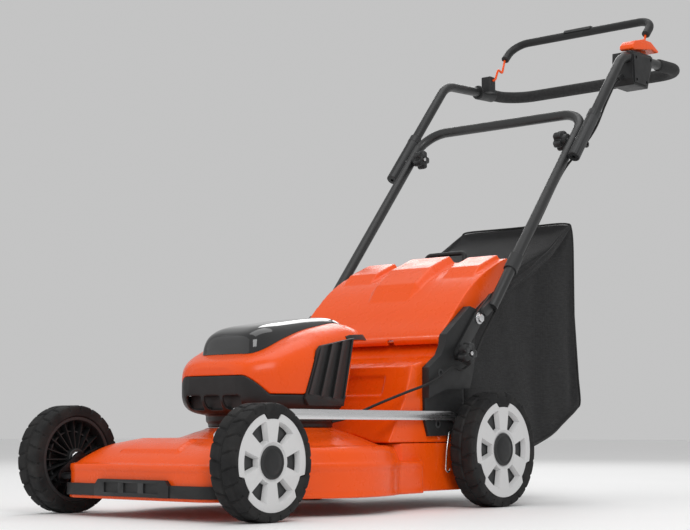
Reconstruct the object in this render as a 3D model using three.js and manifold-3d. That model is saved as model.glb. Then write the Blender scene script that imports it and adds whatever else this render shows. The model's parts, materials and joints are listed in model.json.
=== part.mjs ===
// Battery push lawn mower: deck, motor and battery housing, wheels on cranked axles with a
// height adjustment, folding handle with a bail, rear flap and grass bag.
// Millimetres. +Z is up, -Y is the front, +X is the operator's left.
// Parts are laid out with Y = 0 midway between the axles; the whole group is then moved along Y
// so that the origin is the middle of the footprint.
import * as THREE from 'three';
import { mergeVertices } from 'three/addons/utils/BufferGeometryUtils.js';
import Module from 'manifold-3d';

const wasm = await Module();
wasm.setup();

// ---- driving dimensions ----
const GAP = 0.3;
const CENTRE_Y = 332;

const AXLE_Y = 300;
const WHEEL_WIDTH = 47;
const WHEEL_X = 214.5;
const FRONT_WHEEL = { radius: 87, rim: 72.4 };
const REAR_WHEEL = { radius: 100, rim: 83 };
const AXLE_RADIUS = 8;

// From each crank's pivot to its wheel axle, and to its link pin (y, z).
const CRANK = [34, 26];
const LINK_ARM = [-22, 50];
const PIVOT_ROD = 5.5;
const CRANK_X = [183.5, 188.5];
const LINK_X = [179, 183];
const FRONT_PIVOT = [-AXLE_Y - CRANK[0], FRONT_WHEEL.radius - CRANK[1]];
const REAR_PIVOT = [AXLE_Y - CRANK[0], REAR_WHEEL.radius - CRANK[1]];

const MOTOR_Y = -46;
const DECK_BOTTOM = 28;
const CHAMBER_RADIUS = 218;
const WALL = 5;
const NOSE_HALF = 168;
const NOSE_FRONT = -352;
const DECK_TOP = 137.5;
const REAR_HALF = 165;
const REAR_END = 275;
const TOWER_HALF = 172;
const TOWER_TOP_HALF = 164;
const MOUTH_Y = 262;

const HOUSING_BOTTOM = 155;
const HOUSING_MIDDLE = 205;
const SPLIT_SIDE = 190.5;
const SPLIT_FRONT = 220.5;

const BRACKET_X = [172.3, 187];
const FOLD = [291, 331];
const LOCK = [232, 266];
const LEG_X = 199;
const TUBE = 10;
const UPPER_X = 221.5;
const UPPER_FOLD = [609.7, 700.4];
const LEG_ANGLE = THREE.MathUtils.degToRad(50.3);
const CROSSBAR = [664, 763];
const HANDLE_BEND = [771, 894];
const GRIP_REAR = [1038, 908];
const BAIL_PIVOT = [905, 925];
const FLAP_HINGE = [203, 291];
const FLAP_HALF = 171;

// ---- solids ----
function closedBody(geometry) {
  const bare = new THREE.BufferGeometry();
  bare.setAttribute('position', geometry.getAttribute('position').clone());
  if (geometry.index) bare.setIndex(geometry.index.clone());
  const merged = mergeVertices(bare, 1e-3);
  if (signedVolume(merged) < 0) flip(merged);
  return merged;
}

function signedVolume(geometry) {
  const position = geometry.getAttribute('position');
  const [a, b, c] = [new THREE.Vector3(), new THREE.Vector3(), new THREE.Vector3()];
  let volume = 0;
  for (let i = 0; i < geometry.index.count; i += 3) {
    a.fromBufferAttribute(position, geometry.index.getX(i));
    b.fromBufferAttribute(position, geometry.index.getX(i + 1));
    c.fromBufferAttribute(position, geometry.index.getX(i + 2));
    volume += a.dot(b.cross(c)) / 6;
  }
  return volume;
}

function flip(geometry) {
  const index = geometry.index;
  for (let i = 0; i < index.count; i += 3) {
    const second = index.getX(i + 1);
    index.setX(i + 1, index.getX(i + 2));
    index.setX(i + 2, second);
  }
}

function solid(geometry) {
  const body = closedBody(geometry);
  return new wasm.Manifold(new wasm.Mesh({
    numProp: 3,
    vertProperties: Float32Array.from(body.getAttribute('position').array),
    triVerts: Uint32Array.from(body.index.array),
  }));
}

function geometryOf(manifold) {
  const mesh = manifold.getMesh();
  const geometry = new THREE.BufferGeometry();
  geometry.setAttribute('position', new THREE.BufferAttribute(mesh.vertProperties.slice(), 3));
  geometry.setIndex(new THREE.BufferAttribute(mesh.triVerts.slice(), 1));
  return geometry;
}

function joined(...geometries) {
  const bodies = geometries.map(solid);
  return geometryOf(bodies.slice(1).reduce((sum, body) => sum.add(body), bodies[0]));
}

function cut(geometry, ...tools) {
  return geometryOf(tools.map(solid).reduce((rest, tool) => rest.subtract(tool), solid(geometry)));
}

function common(geometry, tool) {
  return geometryOf(solid(geometry).intersect(solid(tool)));
}

function mirrored(geometry) {
  return geometry.clone().scale(-1, 1, 1);
}

// ---- basic shapes ----
function shapeOf(points) {
  return new THREE.Shape(points.map(([a, b]) => new THREE.Vector2(a, b)));
}

function prismX(outline, x0, x1) {
  const geometry = new THREE.ExtrudeGeometry(shapeOf(outline), { depth: x1 - x0, bevelEnabled: false });
  return geometry.applyMatrix4(new THREE.Matrix4().set(0, 0, 1, x0, 1, 0, 0, 0, 0, 1, 0, 0, 0, 0, 0, 1));
}

function prismZ(outline, z0, z1) {
  const geometry = new THREE.ExtrudeGeometry(shapeOf(outline), { depth: z1 - z0, bevelEnabled: false });
  return geometry.translate(0, 0, z0);
}

function box([x0, x1], [y0, y1], [z0, z1]) {
  const geometry = new THREE.BoxGeometry(x1 - x0, y1 - y0, z1 - z0);
  return geometry.translate((x0 + x1) / 2, (y0 + y1) / 2, (z0 + z1) / 2);
}

function rodX(radius, [x0, x1], [y, z], sides = 16) {
  const geometry = new THREE.CylinderGeometry(radius, radius, x1 - x0, sides);
  return geometry.rotateZ(-Math.PI / 2).translate((x0 + x1) / 2, y, z);
}

function rodZ(radius, [z0, z1], [x, y], sides = 24) {
  const geometry = new THREE.CylinderGeometry(radius, radius, z1 - z0, sides);
  return geometry.rotateX(Math.PI / 2).translate(x, y, (z0 + z1) / 2);
}

// Turned about X: profile of [x, radius]. Turned about Z: profile of [radius, z].
function turnedX(profile, sides) {
  const points = profile.map(([x, radius]) => new THREE.Vector2(radius, x));
  return new THREE.LatheGeometry(points, sides).rotateZ(-Math.PI / 2);
}

function turnedZ(profile, sides, y = 0) {
  const points = profile.map(([radius, z]) => new THREE.Vector2(radius, z));
  return new THREE.LatheGeometry(points, sides).rotateX(Math.PI / 2).translate(0, y, 0);
}

function arc([cx, cy], radius, from, to, steps) {
  return Array.from({ length: steps + 1 }, (_, i) => {
    const angle = THREE.MathUtils.degToRad(from + (to - from) * i / steps);
    return [cx + radius * Math.cos(angle), cy + radius * Math.sin(angle)];
  });
}

// A rounded band along a straight centre line, as an outline.
function slotOutline([ay, az], [by, bz], radius, steps = 5) {
  const along = THREE.MathUtils.radToDeg(Math.atan2(bz - az, by - ay));
  return [
    ...arc([ay, az], radius, along + 90, along + 270, steps),
    ...arc([by, bz], radius, along - 90, along + 90, steps),
  ];
}

function planOutline(half, front, rear, radius, steps = 4) {
  return [
    ...arc([half - radius, front + radius], radius, -90, 0, steps),
    ...arc([half - radius, rear - radius], radius, 0, 90, steps),
    ...arc([radius - half, rear - radius], radius, 90, 180, steps),
    ...arc([radius - half, front + radius], radius, 180, 270, steps),
  ];
}

// Skin over rings of equal point count, closed by a fan on the first and last ring.
function loft(rings) {
  const count = rings[0].length;
  const index = [];
  for (let r = 0; r + 1 < rings.length; r += 1) {
    for (let i = 0; i < count; i += 1) {
      const a = r * count + i;
      const b = r * count + (i + 1) % count;
      index.push(a, b, b + count, a, b + count, a + count);
    }
  }
  const last = (rings.length - 1) * count;
  for (let i = 1; i + 1 < count; i += 1) {
    index.push(0, i + 1, i, last, last + i, last + i + 1);
  }
  const geometry = new THREE.BufferGeometry();
  geometry.setAttribute('position', new THREE.Float32BufferAttribute(rings.flat(2), 3));
  geometry.setIndex(index);
  return geometry;
}

// ---- tubes: straight runs joined by round bends ----
class BentPath extends THREE.Curve {
  constructor(corners, bend, bendSteps) {
    super();
    const points = corners.map((corner) => new THREE.Vector3(...corner));
    this.stations = [];
    points.forEach((point, i) => this.addCorner(points[i - 1], point, points[i + 1], bend, bendSteps));
  }

  addCorner(before, point, after, bend, bendSteps) {
    const arriving = before && point.clone().sub(before).normalize();
    const leaving = after && after.clone().sub(point).normalize();
    if (!before || !after) {
      this.stations.push({ point, tangent: arriving || leaving });
      return;
    }
    const half = arriving.angleTo(leaving) / 2;
    const reach = bend * Math.tan(half);
    const start = point.clone().addScaledVector(arriving, -reach);
    const inward = leaving.clone().addScaledVector(arriving, -leaving.dot(arriving)).normalize();
    for (let k = 0; k <= bendSteps; k += 1) {
      const turn = 2 * half * k / bendSteps;
      const place = start.clone().addScaledVector(arriving, bend * Math.sin(turn));
      place.addScaledVector(inward, bend * (1 - Math.cos(turn)));
      const tangent = arriving.clone().multiplyScalar(Math.cos(turn));
      tangent.addScaledVector(inward, Math.sin(turn));
      this.stations.push({ point: place, tangent });
    }
  }

  station(t) {
    return this.stations[Math.round(t * (this.stations.length - 1))];
  }

  getPointAt(t, target = new THREE.Vector3()) {
    return target.copy(this.station(t).point);
  }

  getTangentAt(t, target = new THREE.Vector3()) {
    return target.copy(this.station(t).tangent);
  }
}

function tube(corners, bend, radius, sides = 10, bendSteps = 4) {
  const path = new BentPath(corners, bend, bendSteps);
  const section = shapeOf(arc([0, 0], radius, 0, 360 - 360 / sides, sides - 1));
  const steps = path.stations.length - 1;
  return new THREE.ExtrudeGeometry(section, { steps, extrudePath: path, bevelEnabled: false });
}

// ---- materials ----
function finish(color, roughness, metalness = 0) {
  return new THREE.MeshStandardMaterial({ color, roughness, metalness });
}
const orange = () => finish(0xf25a1c, 0.35);
const blackPlastic = () => finish(0x2b2c2e, 0.6);
const glossBlack = () => finish(0x121315, 0.12);
const rubber = () => finish(0x1b1b1c, 0.85);
const greyPlastic = () => finish(0xb9babb, 0.5);
const blackPaint = () => finish(0x2e2f31, 0.45, 0.3);
const steel = () => finish(0xd2d3d4, 0.3, 0.9);
const darkSteel = () => finish(0x3a3b3d, 0.45, 0.7);
const fabric = () => finish(0x2c2c2d, 0.95);
const foam = () => finish(0x161617, 0.8);

const mower = new THREE.Group();
mower.position.y = -CENTRE_Y;

function piece(name, geometry, material, parent = mower) {
  const mesh = new THREE.Mesh(closedBody(geometry), material);
  mesh.name = name;
  parent.add(mesh);
  return mesh;
}

function pair(name, geometry, material) {
  piece(`${name}_left`, geometry, material());
  piece(`${name}_right`, mirrored(geometry), material());
}

// ---- deck ----
function skirtOutline() {
  const centre = [0, MOTOR_Y];
  const noseMeet = -THREE.MathUtils.radToDeg(Math.acos(NOSE_HALF / CHAMBER_RADIUS));
  const rearMeet = THREE.MathUtils.radToDeg(Math.asin(107 / CHAMBER_RADIUS));
  const half = [
    ...arc([NOSE_HALF - 34, NOSE_FRONT + 34], 34, -90, 0, 4),
    ...arc(centre, CHAMBER_RADIUS, noseMeet, rearMeet, 12),
    [184, 135],
    [REAR_HALF, 150],
  ];
  return [...half, ...half.map(([x, y]) => [-x, y]).reverse()];
}

function noseRing(z, half, front, radius) {
  return planOutline(half, front, -100, radius).map(([x, y]) => [x, y, z]);
}

function domeProfile(offset) {
  return [
    [0, 60], [CHAMBER_RADIUS + offset, 60], [CHAMBER_RADIUS + offset, 82 + offset],
    [212 + offset, 98 + offset], [196 + offset, 109 + offset], [160, 120 + offset],
    [112 + offset, 134 + offset], [111 + offset, DECK_TOP + offset], [0, DECK_TOP + offset],
  ];
}

function deckShell() {
  const nose = loft([
    noseRing(70, NOSE_HALF, NOSE_FRONT, 34), noseRing(80, 166, -347, 36),
    noseRing(95, 158, -330, 44), noseRing(110, 146, -300, 50), noseRing(121, 120, -255, 55),
  ]);
  const rear = box([-REAR_HALF, REAR_HALF], [110, REAR_END], [40, 112]);
  const outside = joined(
    prismZ(skirtOutline(), DECK_BOTTOM, 82), turnedZ(domeProfile(0), 36, MOTOR_Y), nose, rear,
  );
  const inner = CHAMBER_RADIUS - WALL;
  const chamber = turnedZ([
    [0, 10], [inner, 10], [inner, 80], [206, 94], [190, 104], [150, 115], [106, 129], [0, 129],
  ], 36, MOTOR_Y);
  const noseSpace = cut(
    loft([
      noseRing(10, 163, -347, 32), noseRing(76, 163, -347, 32), noseRing(100, 148, -318, 40),
    ]),
    rodZ(CHAMBER_RADIUS, [0, 150], [0, MOTOR_Y], 36),
  );
  const rearSpace = box([-155, 155], [90, REAR_END - WALL], [10, 150]);
  const pivotHoles = [FRONT_PIVOT, REAR_PIVOT].map((at) => rodX(PIVOT_ROD + GAP, [-200, 200], at));
  const shaftHole = rodZ(12, [100, 160], [0, MOTOR_Y]);
  return cut(outside, chamber, noseSpace, rearSpace, shaftHole, ...pivotHoles);
}

function frontBumper() {
  const band = prismZ(planOutline(173.5, NOSE_FRONT - 5.5, -250, 38), 33, 51.5);
  const middle = prismZ(planOutline(68, NOSE_FRONT - 8, -330, 6), 33, 59);
  const nose = prismZ(planOutline(NOSE_HALF + GAP, NOSE_FRONT - GAP, -200, 34), 20, 70);
  const behind = box([-300, 300], [-322, 0], [0, 100]);
  const recesses = [-44, 0, 44].map((x) => box([x - 15, x + 15], [-370, NOSE_FRONT - 6], [40, 53]));
  return cut(joined(band, middle), nose, behind, ...recesses);
}

// ---- rear tower: the discharge passage up to the bag mouth ----
function chuteHousing() {
  const lower = prismX(
    [[56, 112.3], [MOUTH_Y, 112.3], [MOUTH_Y, 250], [150, 250], [122, 242], [101, 184]],
    -TOWER_HALF, TOWER_HALF,
  );
  const upper = prismX(
    [[150, 240], [MOUTH_Y, 240], [MOUTH_Y, 340], [235, 306], [197, 260], [172, 252]],
    -TOWER_TOP_HALF, TOWER_TOP_HALF,
  );
  const lowerSpace = prismX(
    [[62, 100], [300, 100], [300, 245.5], [153, 245.5], [125, 238], [105, 182]],
    -TOWER_HALF + WALL - 1, TOWER_HALF - WALL + 1,
  );
  const upperSpace = prismX(
    [[154, 240], [300, 240], [300, 379], [233, 298], [195, 254], [176, 247]],
    -TOWER_TOP_HALF + WALL - 1, TOWER_TOP_HALF - WALL + 1,
  );
  const deck = turnedZ(domeProfile(0.4), 36, MOTOR_Y);
  return cut(joined(lower, upper), lowerSpace, upperSpace, deck);
}

// ---- motor and battery housing ----
const HOUSING_STATIONS = [
  // y, half width, bottom, top
  [-187, 52, 180, 234], [-181, 72, 170, 243], [-165, 90, 161, 252], [-140, 107, 157, 263],
  [-95, 117, HOUSING_BOTTOM, 283], [-45, 119.5, HOUSING_BOTTOM, 300], [0, 119.5, HOUSING_BOTTOM, 310],
  [45, 118, HOUSING_BOTTOM, 317], [80, 110, HOUSING_BOTTOM, 314], [104, 96, HOUSING_BOTTOM, 305],
];

function superArc(t, power) {
  return Math.sign(t) * Math.abs(t) ** (2 / power);
}

function housingRing([y, half, bottom, top], inset) {
  const count = 20;
  return Array.from({ length: count }, (_, i) => {
    const angle = 2 * Math.PI * i / count;
    const rise = superArc(Math.sin(angle), 4);
    const height = rise > 0 ? top - inset - HOUSING_MIDDLE : HOUSING_MIDDLE - bottom - inset;
    return [(half - inset) * superArc(Math.cos(angle), 4), y, HOUSING_MIDDLE + rise * height];
  });
}

function housingBody(inset) {
  const first = HOUSING_STATIONS[0][0];
  const last = HOUSING_STATIONS.at(-1)[0];
  const squeeze = (last - first - 2 * inset) / (last - first);
  return loft(HOUSING_STATIONS.map(([y, ...rest]) => {
    return housingRing([first + inset + (y - first) * squeeze, ...rest], inset);
  }));
}

function housingShell(inset) {
  const undercut = prismX([[2, 100], [6, 172], [34, 284], [120, 287], [200, 100]], -200, 200);
  return cut(housingBody(inset), undercut.translate(0, -inset, 0));
}

function ventOutline(grow) {
  const [a, b, c, d] = [[-94, 184], [-62, 271], [29, 287], [2, 173]];
  return [
    [a[0] - grow, a[1] - grow], [b[0] - grow, b[1] - 8 + grow], [b[0] + 8, b[1] + grow],
    [c[0] + grow, c[1] + grow], [d[0] + grow, d[1] - grow], [a[0] + 8, d[1] - grow],
  ];
}

const splitLine = [[-300, SPLIT_FRONT], [-182, SPLIT_FRONT], [-154, SPLIT_SIDE], [300, SPLIT_SIDE]];

function ventPockets() {
  const pocket = prismX(ventOutline(GAP), 113, 140);
  return [pocket, mirrored(pocket)];
}

function housingBase() {
  const above = prismX([...splitLine, [300, 400], [-300, 400]], -300, 300);
  const shell = cut(housingShell(0), above, housingShell(4));
  const floor = rodZ(108, [DECK_TOP + GAP, HOUSING_BOTTOM + 6], [0, MOTOR_Y], 40);
  const recess = rodZ(101, [130, 148], [0, MOTOR_Y], 32);
  const shaftHole = rodZ(9, [100, 200], [0, MOTOR_Y]);
  return cut(joined(shell, floor), recess, shaftHole, ...ventPockets());
}

function housingCover() {
  const lowered = splitLine.map(([y, z]) => [y, z + GAP]);
  const below = prismX([...lowered, [300, 100], [-300, 100]].reverse(), -300, 300);
  const tray = box([-52, 52], [-120, 32], [212, 400]);
  const pocket = box([-48, 48], [-116, 28], [216, 400]);
  return cut(housingShell(0), below, cut(housingShell(3.5), tray), pocket, ...ventPockets());
}

function ventGrille() {
  const slots = [-60, -30, 0].map((y) => prismX(
    [[y - 18, 190], [y + 2, 190], [y + 14, 262], [y - 2, 258]], 117.5, 130,
  ));
  return cut(prismX(ventOutline(0), 113.3, 120.6), ...slots);
}

const LID_STATIONS = [
  [-156, 48, 215, 268], [-151, 58, 215, 285], [-138, 65, 215, 296], [-112, 70, 215, 305],
  [-55, 73, 215, 314], [0, 74, 215, 322], [50, 72, 215, 326.5], [82, 64, 215, 322], [98, 56, 215, 314],
];

function batteryLid() {
  const cap = loft(LID_STATIONS.map((station) => housingRing(station, 0)));
  const inside = loft(LID_STATIONS.slice(1, -1).map((station) => housingRing(station, 4)));
  const well = common(inside, box([-47, 47], [-115, 27], [200, 400]));
  const beneath = [box([-200, 200], [-300, 200], [100, 250]), box([-200, 200], [20, 200], [100, 292])];
  return cut(cap, housingShell(-0.4), well, ...beneath);
}

// ---- motor and cutter ----
function motorStator() {
  return turnedZ([[12, 163], [35, 163], [35, 186], [12, 186], [12, 163]], 24, MOTOR_Y);
}

function motorRotor() {
  return turnedZ([
    [0, 72], [8, 72], [8, 188], [37, 188], [37, 164], [42, 164], [42, 192], [0, 192],
  ], 24, MOTOR_Y);
}

function bladeHolder() {
  const fins = [0, 45, 90, 135].map((angle) => {
    return box([-62, 62], [-2, 2], [62, 78]).rotateZ(THREE.MathUtils.degToRad(angle));
  });
  const disc = turnedZ([
    [0, 50], [26, 50], [28, 58], [64, 58], [64, 62.5], [20, 62.5], [16, 84], [0, 84],
  ], 24);
  const bore = rodZ(8 + GAP, [70, 100], [0, 0]);
  return cut(joined(disc, ...fins), bore).translate(0, MOTOR_Y, 0);
}

function blade() {
  const half = [[30, 24], [120, 22], [150, 25], [203, 25], [205, -14], [150, -22], [120, -24], [30, -24]];
  const plan = [...half, ...half.map(([x, y]) => [-x, -y])];
  const flat = prismZ(plan, 44, 47.5);
  const sail = prismX([[4, 47], [24.5, 47], [24.5, 60], [21, 60], [14, 49.5]], 155, 201);
  const otherSail = sail.clone().rotateZ(Math.PI);
  const bore = rodZ(7, [20, 70], [0, 0]);
  return cut(joined(flat, sail, otherSail), bore).translate(0, MOTOR_Y, 0);
}

function bladeBolt() {
  const washer = rodZ(20, [40, 43.7], [0, MOTOR_Y]);
  const head = rodZ(11, [33, 40.5], [0, MOTOR_Y], 6);
  const shank = rodZ(6.5, [40, 49.6], [0, MOTOR_Y]);
  return joined(washer, head, shank);
}

// ---- wheels: local X runs outwards along the axle ----
function tyre({ radius, rim }) {
  const half = WHEEL_WIDTH / 2;
  const [outer, inner] = [rim + GAP + 0.2, rim - 3];
  return turnedX([
    [half, outer], [half, radius - 4], [half - 4, radius], [4 - half, radius], [-half, radius - 4],
    [-half, inner], [13.5, inner], [13.5, outer], [half, outer],
  ], 32);
}

function wheelDisc({ rim }) {
  const band = rim - 4;
  return turnedX([
    [-22, AXLE_RADIUS + GAP], [-22, 17], [4, 17], [4, band - 6], [-21, band - 6], [-21, band],
    [12, band], [12, AXLE_RADIUS + GAP], [-22, AXLE_RADIUS + GAP],
  ], 20);
}

function rimCover({ rim }) {
  const face = shapeOf(arc([0, 0], rim, 0, 345, 23));
  const [near, far] = [0.43 * rim, 0.8 * rim];
  for (let k = 0; k < 6; k += 1) {
    const middle = 30 + 60 * k;
    const window = [
      ...arc([0, 0], far, middle - 13, middle + 13, 2),
      ...arc([0, 0], near, middle + 8, middle - 8, 1),
    ];
    face.holes.push(new THREE.Path(window.map(([a, b]) => new THREE.Vector2(a, b))));
  }
  const cover = new THREE.ExtrudeGeometry(face, { depth: 8.5, bevelEnabled: false });
  return cover.rotateY(Math.PI / 2).translate(14, 0, 0);
}

function addWheel(end, side, wheel) {
  const group = new THREE.Group();
  const sign = side === 'left' ? 1 : -1;
  group.position.set(sign * WHEEL_X, end === 'front' ? -AXLE_Y : AXLE_Y, wheel.radius);
  group.rotation.z = side === 'left' ? 0 : Math.PI;
  mower.add(group);
  piece(`tyre_${end}_${side}`, tyre(wheel), rubber(), group);
  piece(`wheel_disc_${end}_${side}`, wheelDisc(wheel), blackPlastic(), group);
  piece(`rim_cover_${end}_${side}`, rimCover(wheel), greyPlastic(), group);
}

// ---- cranked axles and the link between them ----
function crankedAxle(pivot) {
  const axle = [pivot[0] + CRANK[0], pivot[1] + CRANK[1]];
  const pin = [pivot[0] + LINK_ARM[0], pivot[1] + LINK_ARM[1]];
  const arm = prismX(slotOutline(pivot, axle, 12), ...CRANK_X);
  const stub = rodX(AXLE_RADIUS, [CRANK_X[0] + 1, 226], axle, 20);
  return joined(
    rodX(PIVOT_ROD, [-CRANK_X[0] - 1, CRANK_X[0] + 1], pivot, 12), arm, stub,
    mirrored(arm), mirrored(stub),
    prismX(slotOutline(pivot, pin, 9), ...CRANK_X), rodX(4, [LINK_X[0] - 0.5, CRANK_X[0] + 1], pin, 12),
  );
}

function linkBar() {
  const front = [FRONT_PIVOT[0] + LINK_ARM[0], FRONT_PIVOT[1] + LINK_ARM[1]];
  const rear = [REAR_PIVOT[0] + LINK_ARM[0], REAR_PIVOT[1] + LINK_ARM[1]];
  const [low, high] = [150.5, 166];
  const bend = low - rear[1] - 6;
  const outline = [
    ...arc(front, 8, 180, 360, 5), [front[0] + 8, low - 26], [front[0] + 38, low],
    ...arc([rear[0] - 8 - bend, rear[1] + 6], bend, 90, 0, 4),
    ...arc(rear, 8, 180, 360, 5),
    ...arc([rear[0] - 8 - bend, rear[1] + 6], bend + high - low, 0, 90, 5),
    [front[0] + 34, high], [front[0] - 8, high - 38],
  ];
  return cut(prismX(outline, ...LINK_X), rodX(4.4, [170, 190], rear, 12), rodX(5.4, [170, 190], front, 12));
}

function heightLever() {
  const top = [REAR_PIVOT[0] + 40, REAR_PIVOT[1] + 138];
  const arm = prismX(slotOutline(REAR_PIVOT, top, 8), -183.2, -179);
  const knob = prismX(slotOutline([top[0] - 2, top[1] - 4], [top[0] + 4, top[1] + 24], 9), -186.9, -177);
  return cut(joined(arm, knob), rodX(PIVOT_ROD + GAP, [-200, -150], REAR_PIVOT, 12));
}

// ---- handle brackets, bolts and knobs ----
function handleBracket() {
  const block = prismX([
    [149, 188], [197, 203], [270, 207], [282, 240], [286, 300], [303, 322], [303, 338], [292, 348],
    [272, 352], [200, 299], [195, 279], [185, 263], [149, 240],
  ], ...BRACKET_X);
  const lobe = prismX([
    [149, 200], [150, 150], [160, 123], [214, 124], [261, 132], [261, 215],
  ], BRACKET_X[0], 177.3);
  return cut(joined(block, lobe), rodX(5.3, [100, 300], FOLD, 16));
}

function handleBolt() {
  return joined(
    rodX(5, [174, 193], FOLD, 16), rodX(10.5, [192.7, 194.4], FOLD, 20), rodX(7.5, [194, 199.5], FOLD, 6),
  );
}

function starKnob(at, x0, x1, stud) {
  const outline = Array.from({ length: 24 }, (_, i) => {
    const angle = 2 * Math.PI * i / 24;
    const radius = 18 + 3 * Math.cos(5 * angle);
    return [at[0] + radius * Math.cos(angle), at[1] + radius * Math.sin(angle)];
  });
  const collar = [Math.min(x0, x1 - 16), Math.min(x0, x1 - 16) + 16];
  return joined(prismX(outline, ...collar), rodX(12, [x0, x1], at, 16), rodX(3.8, stud, at, 10));
}

// ---- handle ----
function legPoint(z) {
  return [CROSSBAR[0] - (CROSSBAR[1] - z) / Math.tan(LEG_ANGLE), z];
}

function lowerHandle() {
  const foot = legPoint(352);
  const loop = tube([
    [LEG_X, ...foot], [LEG_X, ...CROSSBAR], [-LEG_X, ...CROSSBAR], [-LEG_X, ...foot],
  ], 55, TUBE);
  const strip = joined(
    prismX(slotOutline(LOCK, FOLD, 12), 187.3, 192.3),
    prismX(slotOutline(FOLD, legPoint(368), 11), 187.3, 192.3),
    prismX(slotOutline([FOLD[0] + 15, FOLD[1] + 14], legPoint(362), 9), 190, 199),
  );
  const holes = [
    rodX(5.3, [150, 205], FOLD), rodX(4.1, [150, 205], LOCK), rodX(4.1, [180, 215], UPPER_FOLD),
  ];
  return cut(joined(loop, strip, mirrored(strip)), ...holes, ...holes.map(mirrored));
}

function upperStart() {
  return [UPPER_FOLD[0] - 48 * Math.cos(LEG_ANGLE), UPPER_FOLD[1] - 48 * Math.sin(LEG_ANGLE)];
}

function upperTube(radius, sides) {
  return tube([
    [UPPER_X, ...upperStart()], [UPPER_X, ...HANDLE_BEND], [UPPER_X, ...GRIP_REAR],
    [-UPPER_X, ...GRIP_REAR], [-UPPER_X, ...HANDLE_BEND], [-UPPER_X, ...upperStart()],
  ], 60, radius, sides, 4);
}

function upperHandle() {
  const hole = rodX(4.1, [200, 240], UPPER_FOLD);
  return cut(upperTube(TUBE, 10), hole, mirrored(hole));
}

function upperSleeve() {
  const along = [Math.cos(LEG_ANGLE), Math.sin(LEG_ANGLE)];
  const at = (distance) => [
    UPPER_X, UPPER_FOLD[0] + along[0] * distance, UPPER_FOLD[1] + along[1] * distance,
  ];
  const body = tube([at(-56), at(76)], 1, 12.2, 12);
  const eye = [UPPER_FOLD[0] + 17 * along[1], UPPER_FOLD[1] - 17 * along[0]];
  const ring = joined(body, rodX(7, [UPPER_X - 2.5, UPPER_X + 2.5], eye, 16));
  const bore = tube([at(-49), at(90)], 1, TUBE + 0.8, 12);
  const plugHole = tube([at(-60), at(-40)], 1, 3, 8);
  return cut(ring, bore, plugHole, rodX(4.1, [200, 240], UPPER_FOLD), rodX(3.6, [200, 240], eye, 12));
}

function gripTube(radius, extra) {
  const slope = (GRIP_REAR[1] - HANDLE_BEND[1]) / (GRIP_REAR[0] - HANDLE_BEND[0]);
  const at = (y) => [y, GRIP_REAR[1] - (GRIP_REAR[0] - y) * slope];
  return tube([
    [UPPER_X, ...at(922 - extra)], [UPPER_X, ...GRIP_REAR],
    [-UPPER_X, ...GRIP_REAR], [-UPPER_X, ...at(953 - extra)],
  ], 60, radius, 10, 4);
}

function gripSleeve() {
  return cut(gripTube(13, 0), gripTube(TUBE + GAP, 10));
}

function controlBox() {
  const body = prismX([
    [800, 838], [856, 838], [876, 893], [873, 911], [797, 908], [793, 852],
  ], 184, 232);
  const plate = prismX([
    [799, 843], [851, 843], [874, 895], [872, 908], [797, 902],
  ], 231.5, 236);
  const lug = prismX([[850, 880], [912, 908], [915, 930], [896, 934], [868, 910]], 186, 198);
  const gland = tube([[206, 802, 862], [206, 780, 848]], 1, 5.5, 12);
  const wireHole = rodX(2.6, [180, 196.4], BAIL_PIVOT, 12);
  return cut(joined(body, plate, lug, gland), upperTube(TUBE + GAP, 10), wireHole);
}

function bailClamp() {
  const collar = tube([[-UPPER_X, 893, 900.4], [-UPPER_X, 951, 903.4]], 1, 16, 12);
  const post = box([-212, -187], [894, 916], [898, 934]);
  const wireHole = rodX(2.6, [-196.4, -180], BAIL_PIVOT, 12);
  return cut(joined(collar, post), upperTube(TUBE + GAP, 10), wireHole);
}

function startPaddle() {
  return prismX([
    [794, 913], [803, 911.5], [878, 925], [902, 922], [904, 926],
    [872, 940], [840, 940], [806, 931], [795, 921],
  ], 202, 234);
}

function bailWire() {
  const [y, z] = BAIL_PIVOT;
  return tube([
    [196, y, z], [181, y, z], [181, y + 14, z + 26], [181, y + 28, z + 22], [181, y + 40, z + 52.5],
  ], 4, 2.3, 8, 3);
}

function bailBar() {
  const [y, z] = BAIL_PIVOT;
  const end = [y + 41, z + 54];
  const top = [y + 81, z + 96];
  return tube([[181, ...end], [181, ...top], [-181, ...top], [-181, ...end]], 38, 9, 10, 4);
}

// ---- cable, in three lengths that ride on the deck, the lower and the upper handle ----
function besideLeg(z, clear) {
  const [y] = legPoint(z);
  return [y + clear * Math.sin(LEG_ANGLE), z - clear * Math.cos(LEG_ANGLE)];
}

function cableLower() {
  return tube([
    [113, -20, 147], [130, 5, 155], [153, 45, 175], [180, 92, 196], [191, 135, 210],
    [195, 170, 224], [197.5, 202, 240.5],
  ], 12, 2.3, 8, 2);
}

function cableMiddle() {
  return tube([
    [197.5, 204.5, 241.5], [197.5, 232, 238], [197.2, 268, 258], [196, 296, 296],
    [LEG_X, ...besideLeg(400, 13)], [LEG_X, ...besideLeg(676, 13)],
  ], 14, 2.3, 8, 2);
}

function cableUpper() {
  return tube([
    [UPPER_X, 650.6, 726.2], [UPPER_X, 690, 773], [210, 755, 835], [206.2, 779.5, 847.7],
  ], 14, 2.3, 8, 2);
}

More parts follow.
